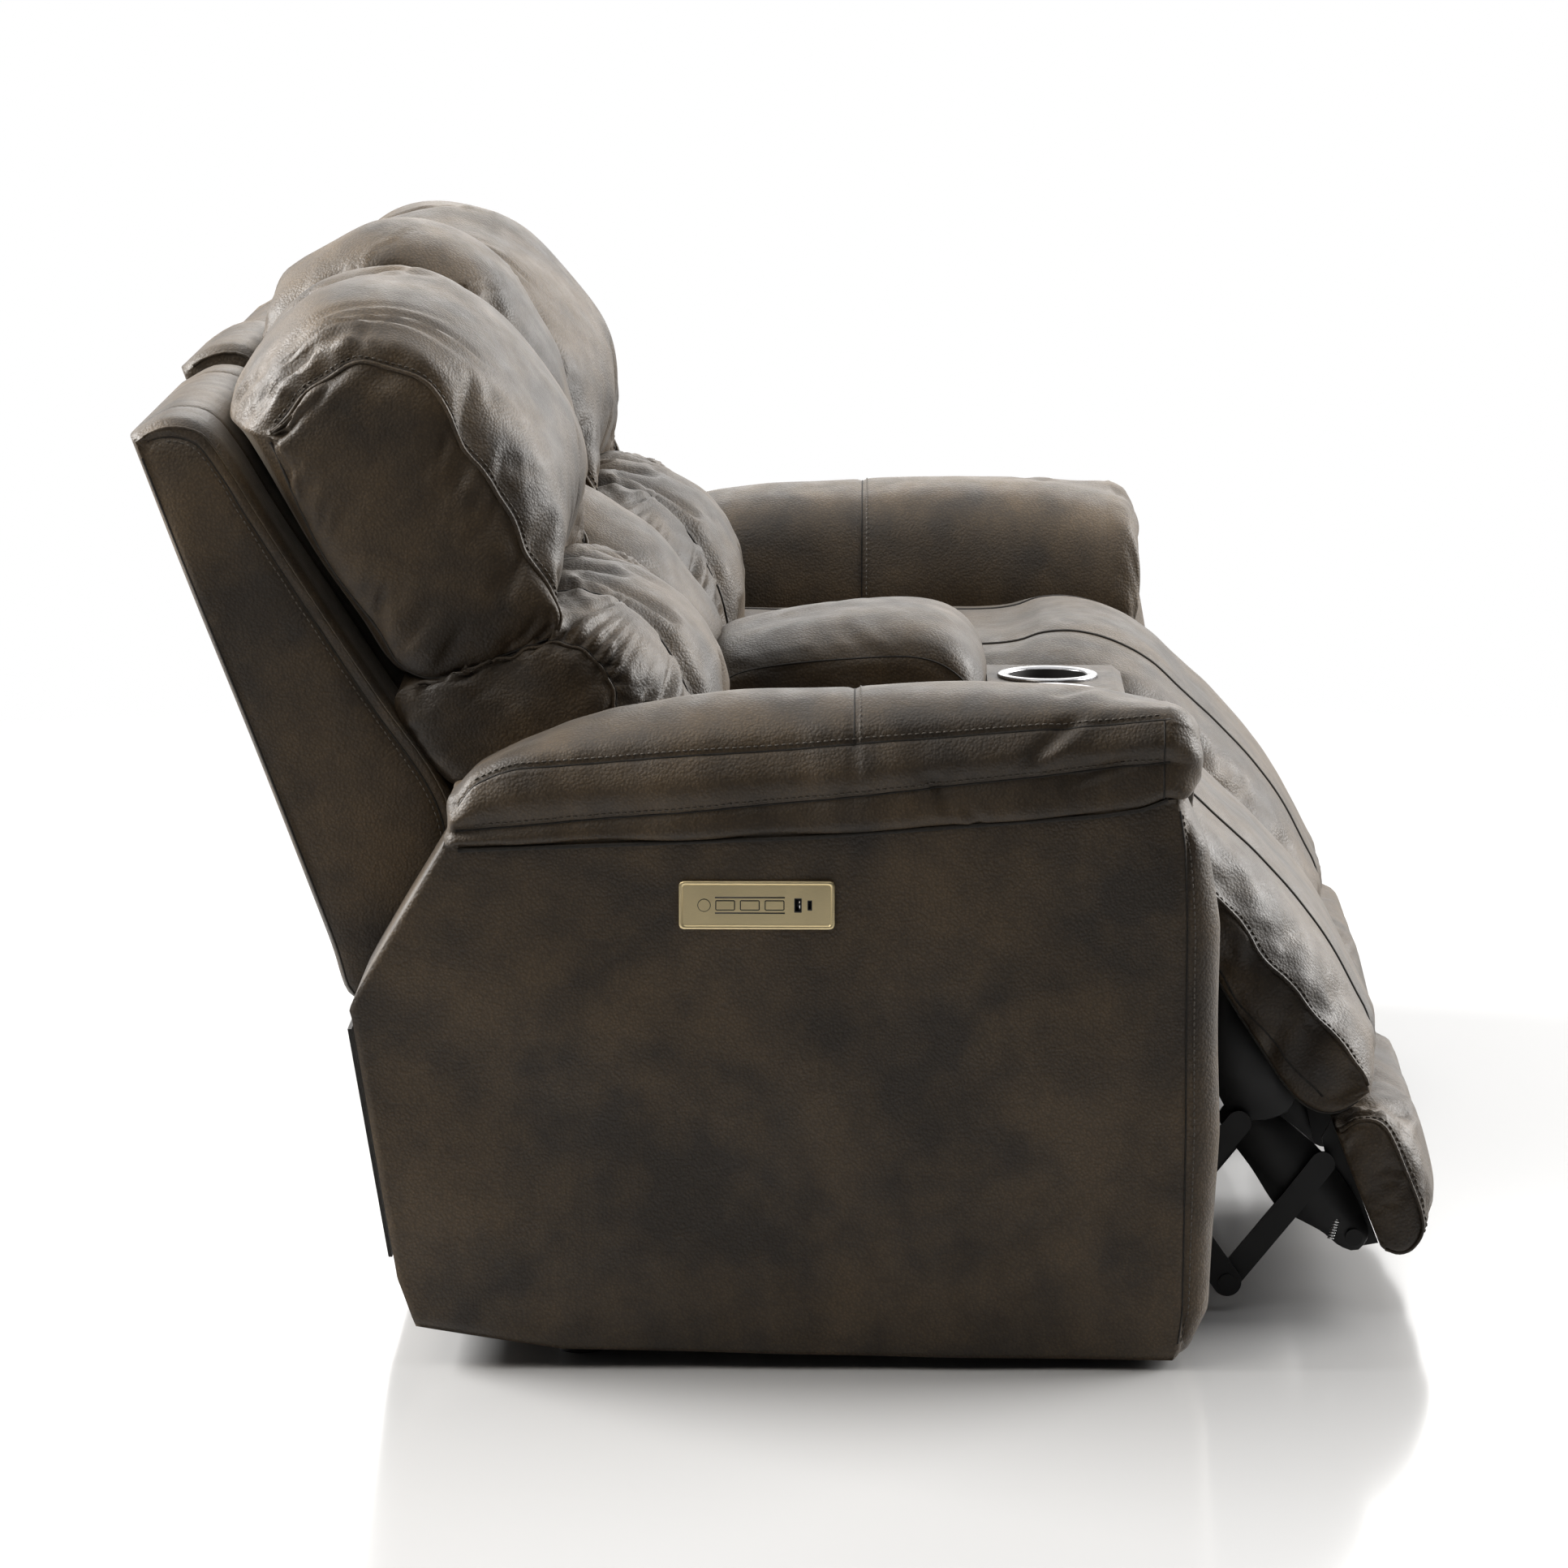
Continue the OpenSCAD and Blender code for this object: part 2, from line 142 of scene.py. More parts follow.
def make_floor():
    """A pale glossy floor that thins out to nothing, so that it meets the white surround unseen."""
    rings, spokes = 2, 96
    verts = [(0, 0, 0)]
    for ring in range(1, rings + 1):
        reach = FLOOR_REACH * ring / rings
        turns = [2 * math.pi * k / spokes for k in range(spokes)]
        verts += [(reach * math.cos(turn), reach * math.sin(turn), 0) for turn in turns]
    faces = [(0, 1 + k, 1 + (k + 1) % spokes) for k in range(spokes)]
    faces += [(1 + k, 1 + spokes + k, 1 + spokes + (k + 1) % spokes, 1 + (k + 1) % spokes)
              for k in range(spokes)]
    mesh = bpy.data.meshes.new("floor")
    mesh.from_pydata(verts, [], faces)
    floor = bpy.data.objects.new("floor", mesh)
    bpy.context.scene.collection.objects.link(floor)
    n = Nodes("floor")
    away = n.tree.nodes.new("ShaderNodeVectorMath")
    away.operation = "LENGTH"
    n.feed(away.inputs[0], n.coords)
    part = n.math("DIVIDE", away.outputs["Value"], FLOOR_REACH)
    n.set(Alpha=n.ramp(part, [(0.30, (1, 1, 1)), (0.72, (0, 0, 0))]), Roughness=0.14, IOR=1.6,
          Base_Color=(0.52, 0.52, 0.522, 1))
    mesh.materials.append(n.material)


# ---- materials ----

class Nodes:
    """A new material, with a short way to add and join its shader nodes."""

    def __init__(self, name):
        self.material = bpy.data.materials.new(name)
        self.material.use_nodes = True
        self.tree = self.material.node_tree
        self.shader = self.tree.nodes["Principled BSDF"]
        self.coords = self.tree.nodes.new("ShaderNodeTexCoord").outputs["Object"]

    def feed(self, socket, value):
        """Links an output to the socket, or gives it a value of its own."""
        if isinstance(value, bpy.types.NodeSocket):
            self.tree.links.new(value, socket)
        else:
            socket.default_value = value

    def set(self, **values):
        for name, value in values.items():
            self.feed(self.shader.inputs[name.replace("_", " ")], value)

    def node(self, kind, **values):
        node = self.tree.nodes.new("ShaderNode" + kind)
        for name, value in values.items():
            self.feed(node.inputs[name], value)
        return node

    def noise(self, scale, detail=2.0, rough=0.5, distortion=0.0, stretch=None):
        """Noise in object space, drawn out along an axis if stretch says so."""
        coords = self.coords
        if stretch:
            coords = self.node("Mapping", Scale=stretch, Vector=coords).outputs["Vector"]
        return self.node("TexNoise", Scale=scale, Detail=detail, Roughness=rough,
                         Distortion=distortion, Vector=coords).outputs["Fac"]

    def cells(self, scale):
        return self.node("TexVoronoi", Scale=scale, Vector=self.coords).outputs["Distance"]

    def ramp(self, fac, stops):
        node = self.node("ValToRGB", Fac=fac)
        band = node.color_ramp
        while len(band.elements) < len(stops):
            band.elements.new(0.5)
        for element, (place, colour) in zip(band.elements, stops):
            element.position = place
            element.color = (*colour, 1)
        return node.outputs["Color"]

    def span(self, fac, low, high):
        """Two colours, or two greys, spread over the usual range of a noise."""
        low, high = (c if isinstance(c, tuple) else (c,) * 3 for c in (low, high))
        return self.ramp(fac, [(0.3, low), (0.7, high)])

    def multiply(self, a, b, fac=0.9):
        node = self.tree.nodes.new("ShaderNodeMix")
        node.data_type = "RGBA"
        node.blend_type = "MULTIPLY"
        for number, value in ((0, fac), (6, a), (7, b)):
            self.feed(node.inputs[number], value)
        return node.outputs[2]

    def math(self, kind, a, b):
        node = self.tree.nodes.new("ShaderNodeMath")
        node.operation = kind
        self.feed(node.inputs[0], a)
        self.feed(node.inputs[1], b)
        return node.outputs[0]

    def blend(self, a, b, part):
        """The sum of two values, each times its part."""
        return self.math("ADD", self.math("MULTIPLY", a, part), self.math("MULTIPLY", b, 1 - part))

    def bump(self, height, distance, strength=1.0):
        return self.node("Bump", Strength=strength, Distance=distance,
                         Height=height).outputs["Normal"]


def leather_material(name, dark, light):
    """Brushed faux leather: soft clouds of two browns, a fine pebble grain with painted highlight and
    shade on its pebbles, and a dry sheen.
    """
    n = Nodes(name)
    tone = n.blend(n.noise(6.5, 3.0, 0.5, 0.4), n.noise(21, 2.0, 0.55), 0.66)
    middle = tuple((a + b) / 2 for a, b in zip(dark, light))
    base = n.ramp(tone, [(0.39, dark), (0.51, middle), (0.63, light)])
    pebbles = n.cells(330)
    fine = n.noise(560, 3.0, 0.6)
    # Pebble tops painted lighter and the hollows between them darker: painted highlight and shade on the
    # grain.
    pebble_highlight_shade = n.ramp(pebbles, [(0.05, (1.22, 1.21, 1.19)), (0.60, (0.74, 0.73, 0.72))])
    specks = n.span(fine, 0.78, 1.20)
    grain = n.math("ADD", n.math("MULTIPLY", pebbles, -1.0), n.math("MULTIPLY", fine, 0.5))
    n.set(Base_Color=n.multiply(n.multiply(base, pebble_highlight_shade), specks),
          Roughness=n.span(n.noise(40, 3.0), 0.50, 0.62), Normal=n.bump(grain, 0.0008, 0.6),
          Sheen_Weight=0.10, Sheen_Roughness=0.30, Sheen_Tint=(0.96, 0.91, 0.83, 1),
          Specular_IOR_Level=0.52)
    return n.material


def grained(name, low, high, noise, bump, stretch=None, **values):
    """A material whose colour and relief follow one noise."""
    n = Nodes(name)
    grain = n.noise(*noise, stretch=stretch)
    n.set(Base_Color=n.span(grain, low, high), Normal=n.bump(grain, *bump), **values)
    return n.material


def painted_steel():
    n = Nodes("black_paint")
    dust = n.noise(30, 4.0, 0.6)
    n.set(Base_Color=n.ramp(dust, [(0.3, (0.0035, 0.0035, 0.004)), (0.75, (0.009, 0.009, 0.0095))]),
          Roughness=n.span(dust, 0.38, 0.55), Normal=n.bump(n.noise(700, 2.0), 0.0002, 0.25),
          Specular_IOR_Level=0.35)
    return n.material


def bright_metal(name, colour, rough, stretch):
    """Brushed or polished metal, its fine lines drawn out along one axis."""
    n = Nodes(name)
    lines = n.noise(1.0, 4.0, 0.6, stretch=stretch)
    n.set(Base_Color=n.span(lines, tuple(c * 0.86 for c in colour), colour),
          Roughness=n.span(n.blend(lines, n.noise(25, 2.0), 0.6), rough * 0.8, rough * 1.25),
          Normal=n.bump(lines, 0.00008, 0.5), Metallic=1.0)
    return n.material


# ---- curves and grids ----

def spline(keys, count):
    """count points, evenly spaced, on a smooth run through the key points."""
    keys = np.array(keys, float)
    held = np.vstack([2 * keys[0] - keys[1], keys, 2 * keys[-1] - keys[-2]])
    t = np.linspace(0, 1, 16, endpoint=False)[:, None]
    fine = [smooth_step(a, b, c, d, t) for a, b, c, d in zip(held, held[1:], held[2:], held[3:])]
    fine = np.vstack(fine + [keys[-1:]])
    return evenly(fine, count)


def smooth_step(a, b, c, d, t):
    """Catmull-Rom between b and c."""
    return 0.5 * (2 * b + (c - a) * t + (2 * a - 5 * b + 4 * c - d) * t * t
                  + (3 * b - a - 3 * c + d) * t ** 3)


def unit(ways):
    """Directions brought to length one."""
    return ways / np.maximum(np.linalg.norm(ways, axis=-1, keepdims=True), 1e-9)


def arc_length(line):
    return np.concatenate([[0], np.cumsum(np.linalg.norm(np.diff(line, axis=0), axis=1))])


def read_at(place, arc, values):
    """What a line holds at a distance along it, or at several distances."""
    return np.stack([np.interp(place, arc, column) for column in values.T], axis=-1)


def evenly(line, count):
    arc = arc_length(line)
    return read_at(np.linspace(0, arc[-1], count), arc, line)


def joined_runs(runs):
    """Several splines end to end, each with its own number of steps, so that seams fall on rows."""
    parts = [spline(keys, steps + 1)[:-1] for keys, steps in runs]
    return np.vstack(parts + [np.array(runs[-1][0][-1], float)[None]])


def resample(grid, at, axis):
    """A grid read smoothly at fractional places along one axis."""
    grid = np.moveaxis(grid, axis, 0)
    last = len(grid) - 1
    i = np.clip(np.floor(at).astype(int), 0, last - 1)
    t = (at - i).reshape(-1, *[1] * (grid.ndim - 1))
    b, c = grid[i], grid[i + 1]
    first = (i == 0).reshape(t.shape)
    final = (i + 2 > last).reshape(t.shape)
    a = np.where(first, 2 * b - c, grid[np.maximum(i - 1, 0)])
    d = np.where(final, 2 * c - b, grid[np.minimum(i + 2, last)])
    return np.moveaxis(smooth_step(a, b, c, d, t), 0, axis)


def ticks(last, per, seams=(), spread=(0.12, 0.3, 0.6)):
    """Fractional places from 0 to last, per to a step, with more of them beside each seam."""
    places = list(np.linspace(0, last, int(round(last * per)) + 1))
    for seam in seams:
        close = [seam] + [seam + sign * s for s in spread for sign in (-1, 1)]
        places = [p for p in places if min(abs(p - c) for c in close) > 0.5 * spread[0]] + close
    return np.array(sorted(p for p in places if 0 <= p <= last))


def ripple(u, seed, waves=5, low=0.6, high=1.6):
    """A smooth irregular wave of about unit wavelength and unit height."""
    dice = np.random.default_rng(seed)
    total = 0
    for _ in range(waves):
        total = total + np.sin(2 * np.pi * (u * dice.uniform(low, high) + dice.uniform()))
    return total / math.sqrt(waves / 2) / 1.4


def swell2(u, w, size, seed):
    """Soft two-way unevenness with bumps of about that size."""
    dice = np.random.default_rng(seed)
    total = 0
    for _ in range(7):
        turn = dice.uniform(0, 2 * np.pi)
        along = (u * math.cos(turn) + w * math.sin(turn)) / size * dice.uniform(0.6, 1.4)
        total = total + np.sin(2 * np.pi * (along + dice.uniform()))
    return total / 2.6


def groove(distance, depth, width):
    return -depth * np.exp(-(distance / width) ** 2)


def gathers(u, edge, pitch, reach, depth, seed):
    """Folds that start at a seam, run away from it and fade, some longer than others."""
    longer = 0.55 + 0.45 * ripple(u / (pitch * 5), seed + 1, 3)
    lean = 0.25 * edge * ripple(u / (pitch * 7), seed + 2, 2)
    wave = ripple((u + lean) / pitch, seed)
    fade = np.exp(-edge / (reach * np.clip(longer, 0.25, 1.2))) * (1 - np.exp(-edge / 5))
    return depth * fade * wave


def crease(u, w, start, end, depth, width):
    """A soft fold line between two places, deepest in its middle."""
    a, b = np.array(start, float), np.array(end, float)
    way = (b - a) / np.linalg.norm(b - a)
    along = (u - a[0]) * way[0] + (w - a[1]) * way[1]
    off = -(u - a[0]) * way[1] + (w - a[1]) * way[0]
    part = np.clip(along / np.linalg.norm(b - a), -0.3, 1.3)
    body = np.clip(1 - (2 * part - 1) ** 2, 0, 1) ** 0.7
    ridge = 0.55 * np.exp(-((off - width * 1.8) / (width * 1.2)) ** 2)
    return depth * body * (ridge - np.exp(-(off / width) ** 2))


def nearest(values, target):
    return int(np.argmin(np.abs(values - target)))


def grid_normals(grid):
    return unit(np.cross(np.gradient(grid, axis=0), np.gradient(grid, axis=1)))


def grid_arcs(grid):
    """Distances along each column and each row of a grid."""
    down = np.linalg.norm(np.diff(grid, axis=0), axis=2)
    across = np.linalg.norm(np.diff(grid, axis=1), axis=2)
    u = np.vstack([np.zeros((1, grid.shape[1])), np.cumsum(down, axis=0)])
    w = np.hstack([np.zeros((grid.shape[0], 1)), np.cumsum(across, axis=1)])
    return u, w


# ---- meshes ----

class Mesh:
    """Vertices and faces gathered from several parts, each with its own material."""

    def __init__(self):
        self.verts, self.faces, self.kinds, self.count = [], [], [], 0

    def add(self, verts, faces, kind=HIDE):
        self.verts.append(np.asarray(verts, float).reshape(-1, 3))
        for group in faces:
            self.faces.append(np.asarray(group) + self.count)
            self.kinds.append(np.full(len(group), kind))
        self.count += len(self.verts[-1])

    def squeeze(self, centre, reach, room=8):
        """Presses the sides in softly, so that nothing stands further across than that."""
        for verts in self.verts:
            off = verts[:, 0] - centre
            past = np.maximum(np.abs(off) - (reach - room), 0)
            verts[:, 0] -= np.sign(off) * (past - room * np.tanh(past / room))
        return self

    def build(self, name, materials, mirrored=False):
        """A Blender object in metres."""
        verts = np.vstack(self.verts) * np.array([-1 if mirrored else 1, -1, 1]) * MM
        faces = [list(dict.fromkeys(face)) for group in self.faces
                 for face in (group if mirrored else group[:, ::-1]).tolist()]
        kept = [i for i, face in enumerate(faces) if len(face) > 2]
        mesh = bpy.data.meshes.new(name)
        mesh.from_pydata(verts.tolist(), [], [faces[i] for i in kept])
        for material in materials:
            mesh.materials.append(material)
        kinds = np.concatenate(self.kinds)[kept]
        mesh.polygons.foreach_set("material_index", kinds.astype(np.int32))
        mesh.polygons.foreach_set("use_smooth", np.ones(len(kept), bool))
        mesh.update()
        piece = bpy.data.objects.new(name, mesh)
        bpy.context.scene.collection.objects.link(piece)
        return piece


def numbered(rows, cols, start=0):
    return start + np.arange(rows * cols).reshape(rows, cols)


def cells_of(ids):
    """Quads of a grid of vertex numbers."""
    return np.stack([ids[:-1, :-1], ids[1:, :-1], ids[1:, 1:], ids[:-1, 1:]], axis=2).reshape(-1, 4)


def ring_cells(ids):
    """Quads of a grid whose last column meets its first."""
    return cells_of(np.hstack([ids, ids[:, :1]]))


def ring_skin(grid):
    return grid.reshape(-1, 3), [ring_cells(numbered(*grid.shape[:2]))]


def weld(top, low, ends):
    """Vertices, faces and vertex numbers of a closed pad. Top and low share their first and last
    rows, and each end panel spans from low to top at the first or the last column."""
    rows, cols = top.shape[:2]
    top_id = numbered(rows, cols)
    low_id = np.vstack([top_id[:1], numbered(rows - 2, cols, top_id.size), top_id[-1:]])
    verts = [top.reshape(-1, 3), low[1:-1].reshape(-1, 3)]
    count = top_id.size + (rows - 2) * cols
    end_ids = []
    for panel, column in zip(ends, (0, -1)):
        ids = np.empty(panel.shape[:2], int)
        ids[:, 0], ids[:, -1] = low_id[:, column], top_id[:, column]
        ids[0], ids[-1] = top_id[0, column], top_id[-1, column]
        middle = panel[1:-1, 1:-1]
        ids[1:-1, 1:-1] = numbered(*middle.shape[:2], count)
        verts.append(middle.reshape(-1, 3))
        count += ids[1:-1, 1:-1].size
        end_ids.append(ids)
    faces = [cells_of(top_id), cells_of(low_id)[:, ::-1], cells_of(end_ids[0]),
             cells_of(end_ids[1])[:, ::-1]]
    verts = np.vstack(verts)
    return verts, facing_out(verts, faces), (top_id, low_id, end_ids)


def facing_out(verts, faces):
    """The faces of a closed skin, all turned over if they enclose a negative volume."""
    total = 0.0
    for f in faces:
        for k in (1, 2):
            a, b, c = verts[f[:, 0]], verts[f[:, k]], verts[f[:, k + 1]]
            total += np.einsum("ij,ij->i", a, np.cross(b, c)).sum()
    return [f[:, ::-1] for f in faces] if total < 0 else faces


def tube(line, normals, radius, sides=6):
    """A round welt along a line of points."""
    ahead = unit(np.gradient(line, axis=0))
    side = unit(np.cross(ahead, normals))
    up = np.cross(side, ahead)
    turn = np.arange(sides) * 2 * np.pi / sides
    ring = np.cos(turn)[None, :, None] * up[:, None] + np.sin(turn)[None, :, None] * side[:, None]
    ids = numbered(len(line), sides)
    return ((line[:, None] + radius * ring).reshape(-1, 3),
            [ring_cells(ids), ids[:1, ::-1], ids[-1:]])


def stitches(line, normals, pitch=7.0, length=4.8, radius=0.85, sides=5):
    """Short threads laid end to end along a line of points, each a small rounded bar."""
    arc = arc_length(line)
    middles = np.arange(pitch / 2, arc[-1] - pitch / 2, pitch)
    start, end = (read_at(middles + half, arc, line) for half in (-length / 2, length / 2))
    way = end - start
    side = unit(np.cross(way, read_at(middles, arc, normals)))
    up = unit(np.cross(side, way))
    turn = np.arange(sides) * 2 * np.pi / sides
    ring = np.cos(turn)[None, :, None] * up[:, None] + np.sin(turn)[None, :, None] * side[:, None]
    verts = []
    for part, size, lift in ((0.0, 0.35, -0.5), (0.2, 1.0, 0.25), (0.8, 1.0, 0.25), (1.0, 0.35, -0.5)):
        middle = start + way * part + up * lift * radius
        verts.append(middle[:, None] + ring * radius * size)
    verts = np.stack(verts, axis=1)
    ids = np.arange(verts.size // 3).reshape(-1, 4, sides)
    walls = np.vstack([ring_cells(one) for one in ids])
    return verts.reshape(-1, 3), [walls, ids[:, 0, ::-1], ids[:, -1]]


# ---- padded forms ----

def across_places(cols):
    """Column places from -1 to 1, closer together towards the seams."""
    even = np.linspace(-1, 1, cols + 1)
    return 0.55 * even + 0.45 * np.sin(even * np.pi / 2)


class Pad:
    """A padded piece between two end seams: a top, an underside and two end panels."""

    def __init__(self, top, low, bulge, panel_rows=8, full=0.55, out=(-1, 1), axis=0):
        self.top, self.low = top, low
        self.ends = [self.panel(column, sign * bulge, panel_rows, full, axis)
                     for column, sign in zip((0, -1), out)]

    def panel(self, column, bulge, steps, full, axis):
        low, top = self.low[:, column], self.top[:, column]
        v = np.linspace(0, 1, steps + 1)
        grid = low[:, None] + (top - low)[:, None] * v[None, :, None]
        s = np.linspace(0, 1, len(low))
        swell = (4 * v * (1 - v))[None] ** full * np.minimum(1, 4 * s * (1 - s) * 2.2)[:, None] ** full
        grid[:, :, axis] += bulge * swell
        return grid

    def inflate(self, pressure, slack, limit, pins=(), frames=16):
        """Cloth simulation with air inside. Pinned columns are sewn down, as are both end seams."""
        verts, faces, (top_id, low_id, end_ids) = weld(self.top, self.low, self.ends)
        mesh = Mesh()
        mesh.add(verts, faces)
        piece = mesh.build("inflating", [])
        held = {*low_id.ravel(), *top_id[0], *top_id[-1], *top_id[:, [*pins, 0, -1]].ravel()}
        group = piece.vertex_groups.new(name="held")
        group.add([int(i) for i in held], 1.0, "REPLACE")
        cloth = piece.modifiers.new("cloth", "CLOTH")
        settings = dict(quality=6, mass=0.25, tension_stiffness=30, compression_stiffness=12,
                        shear_stiffness=8, bending_stiffness=0.4, vertex_group_mass="held",
                        pin_stiffness=5, use_pressure=True, uniform_pressure_force=pressure,
                        shrink_min=-slack)
        for name, value in settings.items():
            setattr(cloth.settings, name, value)
        cloth.settings.effector_weights.gravity = 0
        cloth.collision_settings.use_collision = False
        cloth.point_cache.frame_start = 1
        cloth.point_cache.frame_end = frames
        scene = bpy.context.scene
        for step in range(1, frames + 1):
            scene.frame_set(step)
        moved = piece.evaluated_get(bpy.context.evaluated_depsgraph_get())
        co = np.zeros(len(moved.data.vertices) * 3)
        moved.data.vertices.foreach_get("co", co)
        bpy.data.objects.remove(piece)
        scene.frame_set(1)
        shift = co.reshape(-1, 3) / MM * np.array([1, -1, 1]) - verts
        far = np.linalg.norm(shift, axis=1, keepdims=True)
        new = verts + shift * np.minimum(1, limit / np.maximum(far, 1e-9))
        self.top, self.low = new[top_id], new[low_id]
        self.ends = [new[ids] for ids in end_ids]

    def finish(self, row_ticks, column_ticks, panel_per=2.0, relief=None, panel_relief=None):
        """Refines the grids and adds the surface relief. Relief gets u along the rows, w along
        the columns, the distance to the nearer end seam and the grid itself."""
        top, low = (resample(resample(grid, row_ticks, 0), column_ticks, 1)
                    for grid in (self.top, self.low))
        low[0], low[-1] = top[0], top[-1]
        out = outward(top, (self.top.mean((0, 1)) + self.low.mean((0, 1))) / 2)
        self.top_normals = grid_normals(top) * out
        if relief:
            u, w = grid_arcs(top)
            rise = relief(u, w, np.minimum(w, w[:, -1:] - w), top)
            fade = np.minimum(1, np.minimum(u, u[-1:] - u) / 12.0)
            top = top + self.top_normals * (rise * fade)[:, :, None]
            top[0], top[-1] = low[0], low[-1]
        ends, self.end_normals = [], []
        steps = self.ends[0].shape[1] - 1
        panel_ticks = np.linspace(0, steps, int(steps * panel_per) + 1)
        for panel, column in zip(self.ends, (0, -1)):
            fine = resample(resample(panel, row_ticks, 0), panel_ticks, 1)
            normals = grid_normals(fine) * outward(fine, top.mean((0, 1)))
            self.end_normals.append(normals)
            if panel_relief:
                u, w = grid_arcs(fine)
                rim = np.minimum(np.minimum(w, w[:, -1:] - w), np.minimum(u, u[-1:] - u) * 0.6)
                rise = panel_relief(u, w, rim, fine) * np.minimum(1, rim / 6.0)
                fine = fine + normals * rise[:, :, None]
            fine[:, 0], fine[:, -1] = low[:, column], top[:, column]
            fine[0], fine[-1] = top[0, column], top[-1, column]
            ends.append(fine)
        self.fine = (top, ends)
        self.mesh = Mesh()
        self.mesh.add(*weld(top, low, ends)[:2])

    def seam_line(self, end, inset=0.0, rows=slice(None)):
        """The line of an end seam, or one beside it on the top, with its outward normals."""
        top, normals = self.fine[0], self.top_normals
        if inset:
            step = -1 if end else 1
            return lines_beside(top[:, ::step], normals[:, ::step], inset, rows)
        column = -end
        mean = unit(normals[:, column] + self.end_normals[end][:, -1])
        return top[rows, column], mean[rows]

    def panel_line(self, end, inset, rows=slice(2, -2)):
        """A line on an end panel at that distance from its seam with the top."""
        return lines_beside(self.fine[1][end][:, ::-1], self.end_normals[end][:, ::-1], inset, rows)

    def rear_rim(self, end, rows=slice(2, -2)):
        """The line where an end panel meets the underside."""
        return self.fine[1][end][rows, 0], self.end_normals[end][rows, 0]

    def welt(self, end, radius=2.2):
        line, normals = self.seam_line(end, rows=slice(1, -1))
        self.mesh.add(*tube(line + normals * radius * 0.4, normals, radius))

    def seam(self, line, normals, radius=1.0, sink=0.35):
        """A very dark tube half sunk in the surface along a seam: painted shade in the seam's gap."""
        self.mesh.add(*tube(line - normals * radius * sink, normals, radius), SEAM_SHADE)

    def channel(self, x, rows=slice(1, -1), radius=1.0):
        """The dark tube along a sewn channel at that place across: painted shade in the channel's groove.
        """
        top = self.fine[0]
        column = nearest(top[0, :, 0], x)
        self.seam(top[rows, column], self.top_normals[rows, column], radius, -0.5)

    def stitch(self, line, normals):
        self.mesh.add(*stitches(line + normals * 0.3, normals), THREAD)

    def edge(self, end, welt, inset, seam, stitched=None, rows=slice(3, -3)):
        """A welt on an end seam, a dark tube beside it as painted seam shade and a row of stitches beyond
        that.
        """
        self.welt(end, welt)
        self.seam(*self.seam_line(end, inset, slice(2, -2)), seam)
        if stitched:
            self.stitch(*self.seam_line(end, stitched, rows))


def outward(grid, centre):
    normals = grid_normals(grid)
    return 1.0 if np.sum(normals * (grid - centre)) > 0 else -1.0


def lines_beside(grid, normals, inset, rows):
    """A line at that distance from the first column of a grid, with its normals."""
    pairs = [(arc_length(points), points, ways) for points, ways in zip(grid[rows], normals[rows])]
    return (np.array([read_at(inset, arc, points) for arc, points, _ in pairs]),
            np.array([read_at(inset, arc, ways) for arc, _, ways in pairs]))


def puckered(line, size, pitch, seed):
    """A seam line pulled slightly in and out, as sewing leaves it."""
    arc = arc_length(line)
    ahead = unit(np.gradient(line, axis=0))
    off = np.column_stack([-ahead[:, 1], ahead[:, 0]])
    ends = np.minimum(1, np.minimum(arc, arc[-1] - arc) / 60)
    return line + off * (size * ends * ripple(arc / pitch, seed, 4))[:, None]


def lofted(mid, end, half, rows=40, cols=32, flat=2.6, soft=0.5, centre=0.0, pucker=None):
    """Top and underside grids of a pad whose outline swells from its end seams to its middle.
    mid and end are (top keys, underside keys), as [forward, height] from one corner to the other."""
    t = across_places(cols)
    rise = ((1 - np.abs(t) ** flat) ** soft)[None, :, None]
    grids = []
    for mid_keys, end_keys in zip(mid, end):
        middle = spline(mid_keys, rows + 1)[:, None]
        rim = spline(end_keys, rows + 1)
        if pucker and end_keys is end[0]:
            rim = puckered(rim, *pucker)
        rim = rim[:, None]
        place = rim + (middle - rim) * rise
        x = np.broadcast_to((centre + half * t)[None, :, None], (rows + 1, cols + 1, 1))
        grids.append(np.concatenate([x, place], axis=2))
    grids[1][0], grids[1][-1] = grids[0][0], grids[0][-1]
    return grids


def column_of(x, cols, half, centre=0.0):
    """Fractional column of a lofted pad at that place across."""
    return float(np.interp((x - centre) / half, across_places(cols), np.arange(cols + 1)))


# ---- the pieces ----

seat_lo, seat_hi = node_box("seat_cushion_right")
SEAT_X = (seat_lo[0] + seat_hi[0]) / 2
SEAT_HALF = (seat_hi[0] - seat_lo[0]) / 2
CHANNEL = 0.51 * SEAT_HALF
ROWS, COLS = 40, 32


def seat_columns(half, seams=True, per=2.4):
    places = [column_of(s * CHANNEL, COLS, half) for s in (-1, 1)] if seams else []
    return ticks(COLS, per, places)


def channel_grooves(grid, depth=3.4, width=3.2):
    """Two sewn channels that run along a seat or back pad."""
    x = grid[:, :, 0] - SEAT_X
    total = 0
    for sign in (-1, 1):
        off = np.abs(x - sign * CHANNEL)
        total = total + groove(off, depth * 0.4, width) + groove(off, depth * 0.8, width * 6)
    return total


